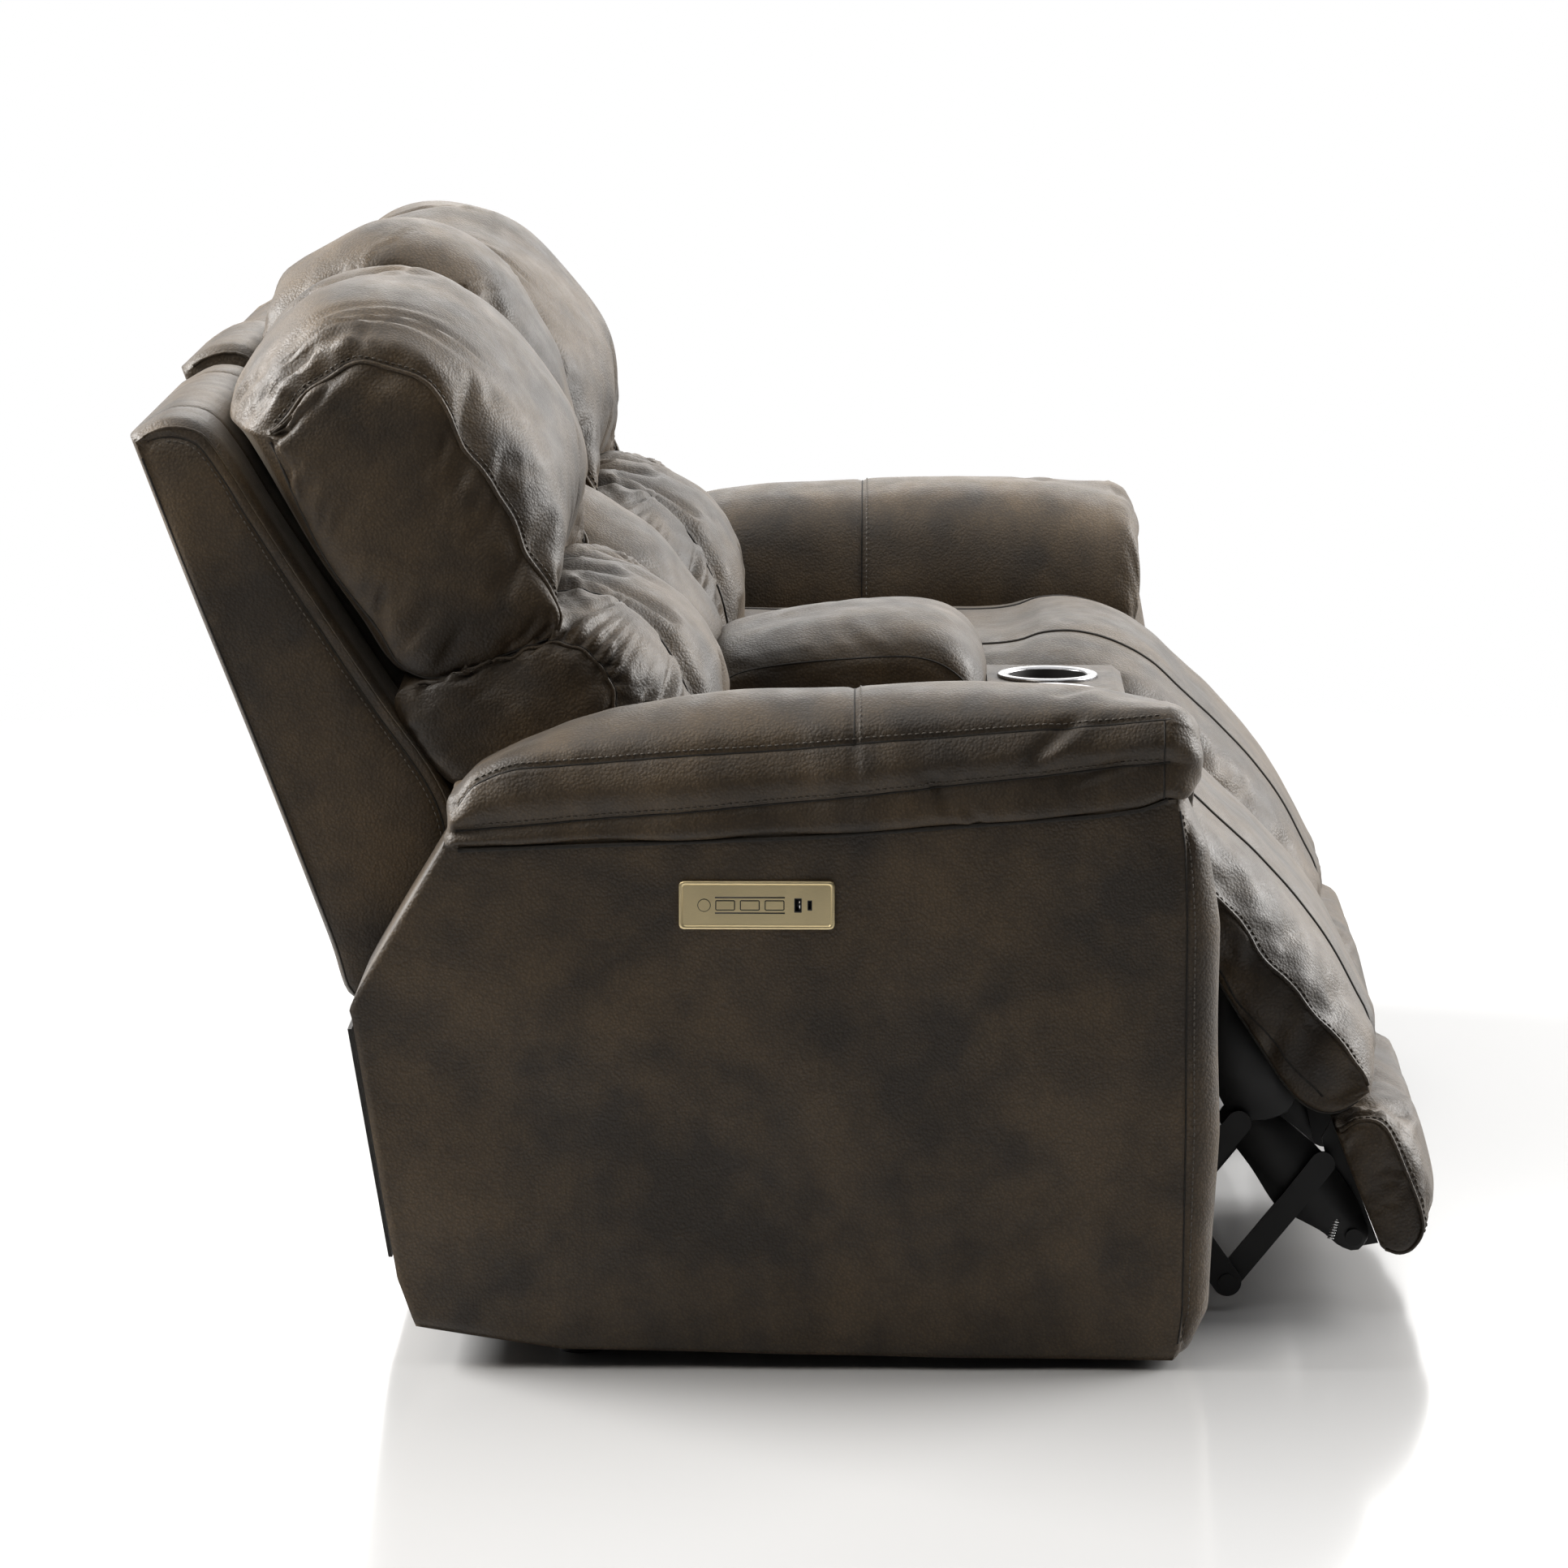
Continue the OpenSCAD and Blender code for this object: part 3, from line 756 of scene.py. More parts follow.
def headrest_pillow():
    """The tilting pillow, with a flat panel on each side and folds over its crest."""
    mid = ([(-262, 726), (-238, 742), (-223, 784), (-226, 836), (-246, 900), (-280, 958),
            (-320, 1002), (-368, 1034), (-432, 1050), (-490, 1038), (-532, 1000), (-568, 954),
            (-580, 920)],
           [(-262, 726), (-335, 694), (-405, 672), (-428, 696), (-500, 808), (-560, 900), (-580, 920)])
    end = ([(-232, 706), (-226, 732), (-250, 777), (-283, 844), (-319, 893), (-344, 943),
            (-366, 968), (-410, 986), (-440, 983), (-478, 957), (-522, 912)],
           [(-232, 706), (-268, 693), (-346, 664), (-388, 676), (-412, 714), (-467, 790), (-522, 912)])
    half = SEAT_HALF - 12
    pad = Pad(*lofted(mid, end, half, ROWS, COLS, 2.3, 0.5, SEAT_X, (1.8, 85, 3)), 8)
    pad.inflate(3.5, 0.03, 20)

    def relief(u, w, edge, grid):
        high = np.clip((grid[:, :, 2] - 840) / 120, 0, 1)
        rear = np.clip((-300 - grid[:, :, 1]) / 120, 0, 1)
        folds = gathers(u, edge, 30, 34, 5.0, 11) * np.maximum(high * rear, 0.12)
        return (folds + swept_folds(u, edge) + 2.4 * swell2(u, w, 190, 5)
                + gathers(u, edge, 80, 60, 2.0, 17))

    def swept_folds(u, edge):
        """Long folds that fan out from the rear lower end of the side seam over the crest."""
        dice = np.random.default_rng(23)
        total = 0
        for k in range(11):
            start = (612 - 7 * k + dice.uniform(-8, 8), 10 + 7 * k)
            length = dice.uniform(130, 300)
            lean = dice.uniform(0.10, 0.34)
            end = (start[0] - length, start[1] + lean * length)
            total = total + crease(u, edge, start, end, dice.uniform(2.0, 4.2), dice.uniform(4, 7.5))
        return total * (1 - np.exp(-edge / 10))

    def panel_relief(u, w, rim, grid):
        low = np.clip((790 - grid[:, :, 2]) / 90, 0, 1)
        pulls = crease(grid[:, :, 1], grid[:, :, 2], (-395, 690), (-350, 742), 7, 10)
        pulls = pulls + crease(grid[:, :, 1], grid[:, :, 2], (-352, 676), (-322, 716), 6, 9)
        dents = gathers(u, rim, 66, 70, 4.2, 9) * (1 - 0.5 * low)
        return 2.2 * swell2(u, w, 130, 7) + dents + pulls

    pad.finish(ticks(ROWS, 3.2), seat_columns(half, False, 2.6), 2.4, relief, panel_relief)
    # The dark seam tubes here are painted shade in the seam gaps.
    for end in (0, 1):
        pad.edge(end, 2.4, 3.2, 1.2, 7.5)
        pad.seam(*pad.rear_rim(end), 1.6)
    return pad.mesh


def lumbar_pad():
    """The gathered cushion below the headrest, sewn down along two channels."""
    mid = ([(-318, 706), (-262, 735), (-214, 748), (-172, 738), (-127, 703), (-90, 650),
            (-68, 600), (-60, 562), (-72, 550)],
           [(-318, 706), (-390, 660), (-350, 566), (-300, 552), (-72, 550)])
    end = ([(-330, 668), (-268, 690), (-226, 700), (-190, 682), (-173, 652), (-168, 610),
            (-166, 575), (-172, 552)],
           [(-330, 668), (-395, 642), (-350, 566), (-310, 552), (-172, 552)])
    half = SEAT_HALF - 10
    pad = Pad(*lofted(mid, end, half, ROWS, COLS, 2.2, 0.55, SEAT_X, (2.0, 45, 6)), 7)
    pins = [round(column_of(s * CHANNEL, COLS, half)) for s in (-1, 1)]
    pad.inflate(3.0, 0.04, 18, pins)

    def relief(u, w, edge, grid):
        folds = gathers(u, edge, 26, 110, 7.5, 21) + gathers(u, edge, 50, 60, 4.0, 25)
        return folds + channel_grooves(grid, 3.0) + 1.5 * swell2(u, w, 160, 8)

    def panel_relief(u, w, rim, grid):
        return 2.0 * swell2(u, w, 110, 27) + gathers(u, rim, 30, 25, 3.0, 28)

    pad.finish(ticks(ROWS, 2.4), seat_columns(half), 2.0, relief, panel_relief)
    # The dark seam and channel tubes here are painted shade in their grooves.
    for end, sign in ((0, -1), (1, 1)):
        pad.edge(end, 2.0, 3.0, 1.1)
        pad.channel(SEAT_X + sign * CHANNEL, radius=1.4)
    return pad.mesh


def seat_cover():
    """The cushion and the chaise pad in front of it are one continuous cover."""
    mid = ([(-315, 512), (-180, 538), (-60, 547), (226, 549), (299, 566), (353, 562), (406, 540),
            (459, 493), (505, 448), (564, 377), (609, 292), (627, 252), (627, 234), (612, 222)],
           [(-315, 512), (-314, 440), (-200, 432), (300, 432), (412, 432), (441, 400), (469, 350),
            (501, 290), (538, 224), (572, 212), (612, 222)])
    end = ([(-315, 498), (-100, 514), (226, 519), (340, 514), (400, 482), (444, 442), (499, 374),
            (549, 315), (596, 258), (606, 236)],
           [(-315, 498), (-314, 440), (-200, 434), (300, 434), (406, 434), (430, 396), (451, 349),
            (490, 287), (532, 228), (572, 214), (606, 236)])
    half = SEAT_HALF - 7
    rows = 56
    pad = Pad(*lofted(mid, end, half, rows, COLS, 2.3, 0.5, SEAT_X, (2.4, 95, 12)), 5)
    pad.inflate(3.0, 0.015, 9)

    def relief(u, w, edge, grid):
        forward = np.clip((grid[:, :, 1] - 250) / 150, 0, 1)
        folds = gathers(u, edge, 50, 45, 1.8, 31) * (0.3 + 0.7 * forward)
        middle = np.exp(-((grid[:, :, 0] - SEAT_X) / 120) ** 2)
        front = np.exp(-((grid[:, :, 1] - 470) / 110) ** 2)
        folds = folds + 0.5 * middle * front * ripple(u / 60, 37)
        return folds + channel_grooves(grid, 1.6) + 1.3 * swell2(u, w, 210, 33)

    def panel_relief(u, w, rim, grid):
        return 1.6 * swell2(u, w, 120, 35) + gathers(u, rim, 44, 30, 2.6, 36)

    row_places = ticks(rows, 2.6)
    pad.finish(row_places, seat_columns(half), 2.0, relief, panel_relief)
    stitched = slice(int(0.72 * len(row_places)), -3)
    boxed = slice(int(0.58 * len(row_places)), -8)
    # The dark seam and channel tubes here are painted shade in their grooves.
    for end, sign in ((0, -1), (1, 1)):
        pad.edge(end, 2.2, 3.0, 1.2, 7.0, stitched)
        pad.seam(*pad.panel_line(end, 58, boxed), 1.3)
        pad.seam(*pad.rear_rim(end), 1.6)
        pad.channel(SEAT_X + sign * CHANNEL, radius=1.6)
    return pad.mesh


def footrest_pad():
    """The small pad at the end of the chaise."""
    mid = ([(570, 198), (594, 214), (628, 218), (652, 197), (670, 140), (675, 104), (666, 78),
            (646, 62), (620, 68)],
           [(570, 198), (587, 154), (604, 110), (620, 68)])
    end = ([(573, 192), (598, 205), (622, 198), (644, 152), (660, 108), (660, 84), (644, 68),
            (621, 72)],
           [(573, 192), (588, 152), (604, 112), (621, 72)])
    half = SEAT_HALF - 8
    rows = 24
    pad = Pad(*lofted(mid, end, half, rows, COLS, 4.0, 0.5, SEAT_X), 5)
    pad.inflate(3.0, 0.02, 8)

    pad.finish(ticks(rows, 2.4), seat_columns(half, False, 2.0), 1.5,
               lambda u, w, edge, grid: (gathers(u, edge, 36, 60, 2.4, 41)
                                         + 1.4 * swell2(u, w, 150, 42)),
               lambda u, w, rim, grid: 1.2 * swell2(u, w, 80, 43))
    # The dark seam tube beside each welt is painted shade in the seam gap.
    for end in (0, 1):
        pad.edge(end, 2.0, 3.0, 1.1, 7.0)
    return pad.mesh


def back_shell():
    """The board-backed shell that carries headrest and lumbar pad, with its stitched side wings."""
    mid = ([(-340, 331), (-322, 400), (-332, 535), (-408, 652), (-522, 828), (-562, 892),
            (-592, 926), (-630, 931), (-664, 912)],
           [(-340, 331), (-400, 330), (-444, 331), (-469, 399), (-540, 588), (-606, 757), (-664, 912)])
    end = ([(-345, 335), (-330, 402), (-340, 532), (-414, 648), (-528, 824), (-566, 884),
            (-592, 916), (-630, 921), (-656, 906)],
           [(-345, 335), (-400, 335), (-439, 336), (-462, 400), (-533, 588), (-599, 757), (-656, 906)])
    half = SEAT_HALF - 5.5
    pad = Pad(*lofted(mid, end, half, ROWS, COLS, 26, 0.5, SEAT_X), 2.5, 12, 0.4)
    top_seam = 0.60 * half
    wing_seam = 12

    def relief(u, w, edge, grid):
        total = 0.8 * swell2(u, w, 240, 51)
        for sign in (-1, 1):
            off = np.abs(grid[:, :, 0] - SEAT_X - sign * top_seam)
            total = total + groove(off, 2.2, 3) + groove(off, 1.4, 12)
        return total

    def panel_relief(u, w, rim, grid):
        seam = np.abs(w[:, -1:] - w - wing_seam)
        return (groove(seam, 2.2, 2.4) + groove(seam, 2.0, 10) + 2.4 * swell2(u, w, 260, 52)
                + gathers(u, seam, 90, 40, 1.2, 53))

    columns = [column_of(sign * top_seam, COLS, half) for sign in (-1, 1)]
    pad.finish(ticks(ROWS, 2.0), ticks(COLS, 1.0, columns), 4.0, relief, panel_relief)
    upper = slice(int(0.7 * len(pad.fine[0])), -1)
    # The dark seam and channel tubes here are painted shade in their grooves.
    for end, sign in ((0, -1), (1, 1)):
        pad.seam(*pad.panel_line(end, wing_seam), 1.2)
        pad.stitch(*pad.panel_line(end, wing_seam + 5, slice(4, -4)))
        pad.welt(end, 1.2)
        pad.channel(SEAT_X + sign * top_seam, upper, 1.2)
        pad.seam(*pad.rear_rim(end), 1.4)
    return pad.mesh


# ---- arms ----

ARM_OUT = node_box("arm_outer_panel_right")[0][0]
ARM_IN = node_box("arm_inner_panel_right")[1][0]
ARM_WIDTH = ARM_IN - ARM_OUT
ARM_FRONT = 395
ARM_SEAM = 408
NOSE_R = 34
PLATE_RECESS = 6


def coons(left, right, bottom, top):
    """A patch between four edges, each an array of [forward, height]."""
    a = np.linspace(0, 1, len(bottom))[None, :, None]
    b = np.linspace(0, 1, len(left))[:, None, None]
    ruled = left[:, None] * (1 - a) + right[:, None] * a
    ruled2 = bottom[None] * (1 - b) + top[None] * b
    corners = ((left[0] * (1 - a) + right[0] * a) * (1 - b)
               + (left[-1] * (1 - a) + right[-1] * a) * b)
    return ruled + ruled2 - corners


def arm_shell():
    """Outer, front and inner panels of one arm: a ring of columns at each height."""
    high, deep = 60, 70
    rear = joined_runs([([(-362, 42), (-380, 92)], 6),
                        ([(-380, 92), (-402, 228), (-423, 358)], 28),
                        ([(-423, 358), (-417, 384), (-330, 532)], 26)])
    bottom = joined_runs([([(-362, 42), (-215, 20)], 14),
                          ([(-215, 20), (100, 14), (ARM_FRONT, 10)], 56)])
    top = spline([(-330, 532), (0, 554), (ARM_FRONT, 580)], deep + 1)
    right = spline([(ARM_FRONT, 10), (ARM_FRONT, 300), (ARM_FRONT, 580)], high + 1)
    face = coons(rear, right, bottom, top)
    nose_f = np.interp(face[:, -1, 1], [10, 60, 240, 450, 530, 580],
                       [410, 433, 442, 439, 428, 404])
    nose = [(ARM_OUT + NOSE_R * (1 - math.cos(k)), math.sin(k))
            for k in np.linspace(0, np.pi / 2, 9)[1:]]
    flat_width = ARM_IN - ARM_OUT - 2 * NOSE_R
    flat = [(ARM_OUT + NOSE_R + flat_width * i / 8, 1.0) for i in range(1, 8)]
    plan = nose + flat + [(ARM_OUT + ARM_IN - x, part) for x, part in nose[::-1]]
    grid = np.zeros((high + 1, 2 * (deep + 1) + len(plan), 3))
    grid[:, :deep + 1, 0] = ARM_OUT
    grid[:, :deep + 1, 1:] = face
    for i, (x, part) in enumerate(plan):
        grid[:, deep + 1 + i, 0] = x
        grid[:, deep + 1 + i, 1] = ARM_FRONT + (nose_f - ARM_FRONT) * part
        grid[:, deep + 1 + i, 2] = face[:, -1, 1]
    grid[:, -deep - 1:, 0] = ARM_IN
    grid[:, -deep - 1:, 1:] = face[:, ::-1]
    return grid, deep


def arm_panels():
    """The arm's outer, front and inner covers, with the seam beside its rounded front."""
    grid, deep = arm_shell()
    fine = resample(grid, ticks(grid.shape[0] - 1, 1.6), 0)
    fine = resample(fine, ticks(grid.shape[1] - 1, 1.5, [deep + 0.5, deep + 2.0]), 1)
    x, f, z = fine[:, :, 0], fine[:, :, 1], fine[:, :, 2]
    normals = grid_normals(fine)
    normals *= outward(fine, fine.mean((0, 1)))
    rise = 1.6 * swell2(f, z + 0.4 * x, 230, 61) - 1.5 * (x > ARM_IN - 2)
    low = np.minimum(np.maximum(z - 10 - np.interp(f, [-362, -215, ARM_FRONT], [32, 10, 0]), 0), 12)
    rise = rise - 4 * (1 - low / 12) ** 2
    tucked = np.clip((x - ARM_IN + 80) / 50, 0, 1) * np.clip((z - 445) / 40, 0, 1)
    rise = rise - 15 * tucked
    off = np.abs(f - ARM_SEAM) + 1000 * (x >= ARM_OUT + NOSE_R)
    rise = rise + groove(off, 2.0, 2.6) + groove(off, 1.6, 9)
    lo, hi = node_box("control_plate_right")
    behind_plate = (x < ARM_OUT + 2) * PLATE_RECESS
    for places, k in ((f, 1), (z, 2)):
        inside = np.minimum(places - lo[k], hi[k] - places)
        behind_plate = behind_plate * np.clip((inside - 2) / 8, 0, 1)
    fine = fine + normals * (rise - behind_plate)[:, :, None]
    mesh = Mesh()
    rows, cols = fine.shape[:2]
    ids = numbered(rows, cols)
    half = cols // 2
    near, far = ids[:, :half], ids[:, ::-1][:, :half]
    lids = [np.stack([near[r, :-1], near[r, 1:], far[r, 1:], far[r, :-1]], axis=1) for r in (0, -1)]
    around = np.stack([ids[:-1, -1], ids[1:, -1], ids[1:, 0], ids[:-1, 0]], axis=1)
    verts = fine.reshape(-1, 3)
    mesh.add(verts, facing_out(verts, [cells_of(ids), around, lids[0][:, ::-1], lids[1]]))
    inside = slice(3, -2)
    # The dark tube on the seam beside the rounded front is painted seam shade; the stitches beside it are
    # thread.
    for place, kind in ((ARM_SEAM, SEAM_SHADE), (ARM_SEAM + 7, THREAD)):
        ahead = np.clip(f[inside, :half], None, ARM_SEAM + 15)
        column = nearest(ahead[rows // 3], place)
        line, ways = fine[inside, column], normals[inside, column]
        mesh.add(*(stitches(line + 0.3 * ways, ways) if kind == THREAD else tube(line, ways, 1.1)), kind)
    return mesh


PAD_CREST = [(-318, 579), (-300, 597), (-261, 618), (-210, 639), (-163, 653), (-100, 664),
             (-40, 670), (73, 676), (195, 680), (260, 678), (317, 673), (388, 659)]
PAD_UPPER = [(-318, 572), (-300, 594), (-263, 608), (-126, 619), (34, 631), (388, 660)]
PAD_LOWER = [(-318, 546), (34, 577), (330, 610), (388, 617)]
PAD_BOTTOM = [(-318, 527), (34, 541), (320, 563), (360, 569), (388, 580)]
PAD_ROWS = (5, 7, 26)
BAND_ROWS = (PAD_ROWS[0], PAD_ROWS[0] + PAD_ROWS[1])
PAD_BACK, PAD_FRONT, PAD_STATIONS = -318, 388, 47
CROSS_SEAM = 76
CAP_SEAM = 380
PAD_CREASES = (((62, 560), (120, 640), 4.5, 7), ((40, 600), (66, 690), 3.0, 6),
               ((66, 470), (22, 492), 3.6, 6), ((30, 505), (8, 520), 3.0, 5),
               ((150, 610), (205, 650), 3.0, 9))


def arm_pad():
    """The stitched pad on top of an arm: its side band, its crest and its rounded ends."""
    tops, lows = [], []
    inner = 484
    for f in np.linspace(PAD_BACK, PAD_FRONT, PAD_STATIONS):
        crest, upper, lower, bottom = (np.interp(f, *zip(*keys)) for keys in (
            PAD_CREST, PAD_UPPER, PAD_LOWER, PAD_BOTTOM))
        lift = crest - upper
        shelf = bottom + 1
        side = [(8, bottom), (-5, bottom + 7), (-2, lower)]
        band = [(-2, lower), (-7, (lower + upper) / 2 - 2), (3, upper)]
        over = [(3, upper), (14, upper + 0.30 * lift + 7), (40, upper + 0.66 * lift + 8),
                (75, upper + 0.93 * lift + 4), (118, crest), (172, inner + 0.93 * (crest - inner)),
                (208, inner + 0.76 * (crest - inner)),
                (ARM_WIDTH - 2, inner + 0.42 * (crest - inner)), (ARM_WIDTH - 3, inner + 14),
                (ARM_WIDTH - 14, inner)]
        under = [(8, bottom), (30, shelf), (110, shelf), (ARM_WIDTH - 40, shelf - 6),
                 (ARM_WIDTH - 14, inner)]
        section = joined_runs(list(zip((side, band, over), PAD_ROWS)))
        for rows, line in ((tops, section), (lows, spline(under, sum(PAD_ROWS) + 1))):
            rows.append(np.column_stack([ARM_OUT + line[:, 0], np.full(len(line), f), line[:, 1]]))
    pad = Pad(np.stack(tops, axis=1), np.stack(lows, axis=1), 33, 12, 0.56, (-0.35, 1), axis=1)

    def relief(u, w, edge, grid):
        f = grid[:, :, 1]
        total = 1.6 * swell2(u, w, 170, 71)
        for row in BAND_ROWS:
            off = np.abs(u - u[nearest(row_places, row)][None])
            total = total + groove(off, 1.6, 2.4) + groove(off, 1.0, 8)
            total = total + gathers(w, off, 60, 22, 1.0, 75)
        cross = np.abs(f - CROSS_SEAM)
        above = np.clip((u - 60) / 12, 0, 1)
        total = total + above * (groove(cross, 1.8, 2.4) + groove(cross, 1.2, 9))
        for start, end, depth, width in PAD_CREASES:
            total = total + crease(u, w, start, end, depth, width)
        return total + groove(np.abs(f - CAP_SEAM), 1.6, 2.6)

    row_places = ticks(sum(PAD_ROWS), 2.4, BAND_ROWS, (0.25, 0.5))
    pad.finish(row_places, ticks(PAD_STATIONS - 1, 2.6), 2.0, relief,
               lambda u, w, rim, grid: 1.5 * swell2(u, w, 60, 77))
    # The dark tubes on the band seams are painted shade in their grooves.
    for row in BAND_ROWS:
        number = nearest(row_places, row)
        line, normals = beside_row(pad, number, 5.5)
        pad.stitch(line[3:-1], normals[3:-1])
        pad.seam(*beside_row(pad, number, 0), 1.3, 0.2)
    # A dark tube just below the band's lower edge: painted shadow line under the pad.
    places = np.linspace(PAD_BACK + 2, PAD_FRONT - 2, 90)
    beneath = np.column_stack([np.full(90, ARM_OUT - 2.0), places,
                               np.interp(places, *zip(*PAD_BOTTOM))])
    pad.seam(beneath, np.tile((-1.0, 0.0, 0.0), (90, 1)), 2.2, 0)
    top, ways = pad.fine[0], pad.top_normals
    above_band = slice(nearest(row_places, BAND_ROWS[1]), -4)
    band = slice(nearest(row_places, 0.5), nearest(row_places, BAND_ROWS[1]))
    crossing, beside, capped = (nearest(top[0, :, 1], f) for f in (CROSS_SEAM, CROSS_SEAM + 8, CAP_SEAM))
    # Dark tubes on the cross and cap seams: painted shade in their grooves.
    pad.seam(top[above_band, crossing], ways[above_band, crossing], 1.1, 0.2)
    pad.stitch(top[above_band, beside], ways[above_band, beside])
    pad.seam(top[band, capped], ways[band, capped], 1.1, 0.2)
    return pad.mesh


def beside_row(pad, row, distance):
    """A line on the top at that distance from a row."""
    u, _ = grid_arcs(pad.fine[0])
    return tuple(np.array([read_at(u[row, c] + distance, u[:, c], values[:, c])
                           for c in range(u.shape[1])]) for values in (pad.fine[0], pad.top_normals))


# ---- console ----

CONSOLE_HALF = node_box("console_box")[1][0]


def console_back_pad():
    """The fixed middle back cushion, fuller towards its top."""
    mid = ([(-92, 541), (-82, 590), (-112, 660), (-170, 722), (-232, 752), (-256, 770),
            (-250, 810), (-269, 911), (-305, 984), (-360, 1047), (-441, 1069), (-505, 1047),
            (-579, 992), (-590, 944)],
           [(-92, 541), (-320, 546), (-392, 650), (-500, 815), (-572, 924), (-590, 944)])
    end = ([(-140, 545), (-140, 590), (-168, 650), (-220, 700), (-262, 722), (-282, 760),
            (-290, 810), (-312, 895), (-350, 950), (-400, 984), (-450, 992), (-505, 972),
            (-556, 940), (-566, 918)],
           [(-140, 545), (-320, 552), (-392, 656), (-480, 792), (-548, 900), (-566, 918)])
    half = CONSOLE_HALF - 10
    pad = Pad(*lofted(mid, end, half, ROWS, 18, 2.2, 0.5), 6)
    pad.inflate(3.0, 0.03, 16)

    def relief(u, w, edge, grid):
        high = np.clip((grid[:, :, 2] - 900) / 80, 0.25, 1)
        return gathers(u, edge, 22, 60, 6.0, 81) * high + 1.5 * swell2(u, w, 120, 82)

    pad.finish(ticks(ROWS, 3.0), ticks(18, 2.4), 2.0, relief,
               lambda u, w, rim, grid: gathers(u, rim, 34, 30, 2.6, 83))
    for end in (0, 1):
        pad.welt(end, 2.2)
    return pad.mesh


def console_back_shell():
    """The shell behind the middle back cushion, down to the floor rails."""
    mid = ([(-234, 94), (-236, 300), (-300, 430), (-342, 545), (-470, 748), (-566, 900),
            (-592, 942), (-634, 946), (-672, 922)],
           [(-234, 94), (-330, 93), (-411, 94), (-440, 230), (-478, 399), (-574, 650), (-672, 922)])
    end = ([(-240, 98), (-242, 300), (-306, 430), (-348, 543), (-474, 744), (-570, 892),
            (-594, 934), (-634, 938), (-666, 916)],
           [(-240, 98), (-330, 97), (-405, 98), (-434, 230), (-471, 399), (-567, 650), (-666, 916)])
    half = CONSOLE_HALF - 3
    pad = Pad(*lofted(mid, end, half, ROWS, 12, 18, 0.5), 1.5, 10, 0.4)
    pad.finish(ticks(ROWS, 2.0), ticks(12, 2.0), 3.0,
               lambda u, w, edge, grid: 0.8 * swell2(u, w, 200, 85),
               lambda u, w, rim, grid: 0.8 * swell2(u, w, 200, 86))
    # The dark seam tube on each wing is painted shade in the seam gap.
    for end in (0, 1):
        pad.welt(end, 1.8)
        pad.seam(*pad.panel_line(end, 14), 1.1)
    return pad.mesh.squeeze(0, CONSOLE_HALF, 3)


def console_lid():
    """The padded lid over the storage bin."""
    mid = ([(-88, 532), (-91, 572), (-82, 606), (-40, 622), (40, 636), (124, 643), (176, 633),
            (207, 606), (219, 572), (212, 532)],
           [(-88, 532), (0, 531.5), (120, 531.5), (212, 532)])
    end = ([(-80, 536), (-82, 560), (-72, 576), (-40, 588), (40, 598), (120, 603), (160, 597),
            (188, 580), (202, 560), (200, 536)],
           [(-80, 536), (0, 534), (120, 534), (200, 536)])
    half = node_box("console_lid")[1][0] - 3
    pad = Pad(*lofted(mid, end, half, 36, 24, 2.8, 0.5), 3, 8, 0.4)

    pad.finish(ticks(36, 2.2), ticks(24, 2.0), 2.0,
               lambda u, w, edge, grid: (1.4 * swell2(u, w, 130, 91)
                                         + gathers(u, edge, 46, 40, 1.6, 92)),
               lambda u, w, rim, grid: 0.8 * swell2(u, w, 90, 93))
    # The dark seam tube on each end is painted shade in the seam gap.
    for end in (0, 1):
        pad.seam(*pad.seam_line(end, 0, slice(2, -2)), 1.1)
    return pad.mesh


# ---- small hardware ----

CUP_RADIUS = 57
CUP_RIM = [(57, -0.5), (57.3, 2.2), (55.8, 4.2), (51, 4.8), (46.5, 3.6), (44.4, 0.5), (44, -7)]
CUP_WELL = [(43.9, 2), (43.6, -10), (43.2, -30), (43, -58), (41, -64), (36, -66), (0.01, -66)]


def dress(node, material, width=0, steps=2):
    """A CAD node's material, and rounded edges by a modifier where a width is given."""
    slots = NODES[node].data.materials
    slots.clear()
    slots.append(material)
    if not width:
        return
    bevel = NODES[node].modifiers.new("edges", "BEVEL")
    bevel.width = width * MM
    bevel.segments = steps
    bevel.limit_method = "ANGLE"
    bevel.angle_limit = math.radians(32)
    bevel.harden_normals = False


def cup_insert(x, forward, top, profile):
    """A turned part of a cup holder, from its profile of radius and height."""
    turn = np.linspace(0, 2 * np.pi, 97)[:-1]
    return ring_skin(np.stack([
        np.column_stack([x + r * np.cos(turn), forward + r * np.sin(turn),
                         np.full(len(turn), top + z)]) for r, z in profile]))


def bar(lo, hi):
    """A plain bar between two corners, for thin marks and inserts."""
    x, f, z = zip(lo, hi)
    verts = [(x[i], f[j], z[k]) for i in (0, 1) for j in (0, 1) for k in (0, 1)]
    faces = np.array([(0, 1, 3, 2), (4, 6, 7, 5), (0, 4, 5, 1), (2, 3, 7, 6), (0, 2, 6, 4),
                      (1, 5, 7, 3)])
    return verts, [faces[:, ::-1]]


def round_loop(lo, hi, radius, steps=5):
    """A rounded rectangle, as [forward, height] points."""
    loop = []
    for cx, cz, start in ((hi[0], hi[1], 0), (lo[0], hi[1], 1), (lo[0], lo[1], 2), (hi[0], lo[1], 3)):
        inset = np.array([-radius if cx == hi[0] else radius, -radius if cz == hi[1] else radius])
        for k in range(steps + 1):
            turn = math.pi / 2 * (start + k / steps)
            loop.append(np.array([cx, cz]) + inset + radius * np.array([math.cos(turn), math.sin(turn)]))
    return np.array(loop)


def ring_around(loops, face):
    """A raised ring through several loops, each (points, how far it stands out from the face)."""
    return ring_skin(np.stack([np.column_stack([np.full(len(p), face - out), p])
                               for p, out in loops]))


def grown(box_lo, box_hi, by):
    return (box_lo[1] - by, box_lo[2] - by), (box_hi[1] + by, box_hi[2] + by)


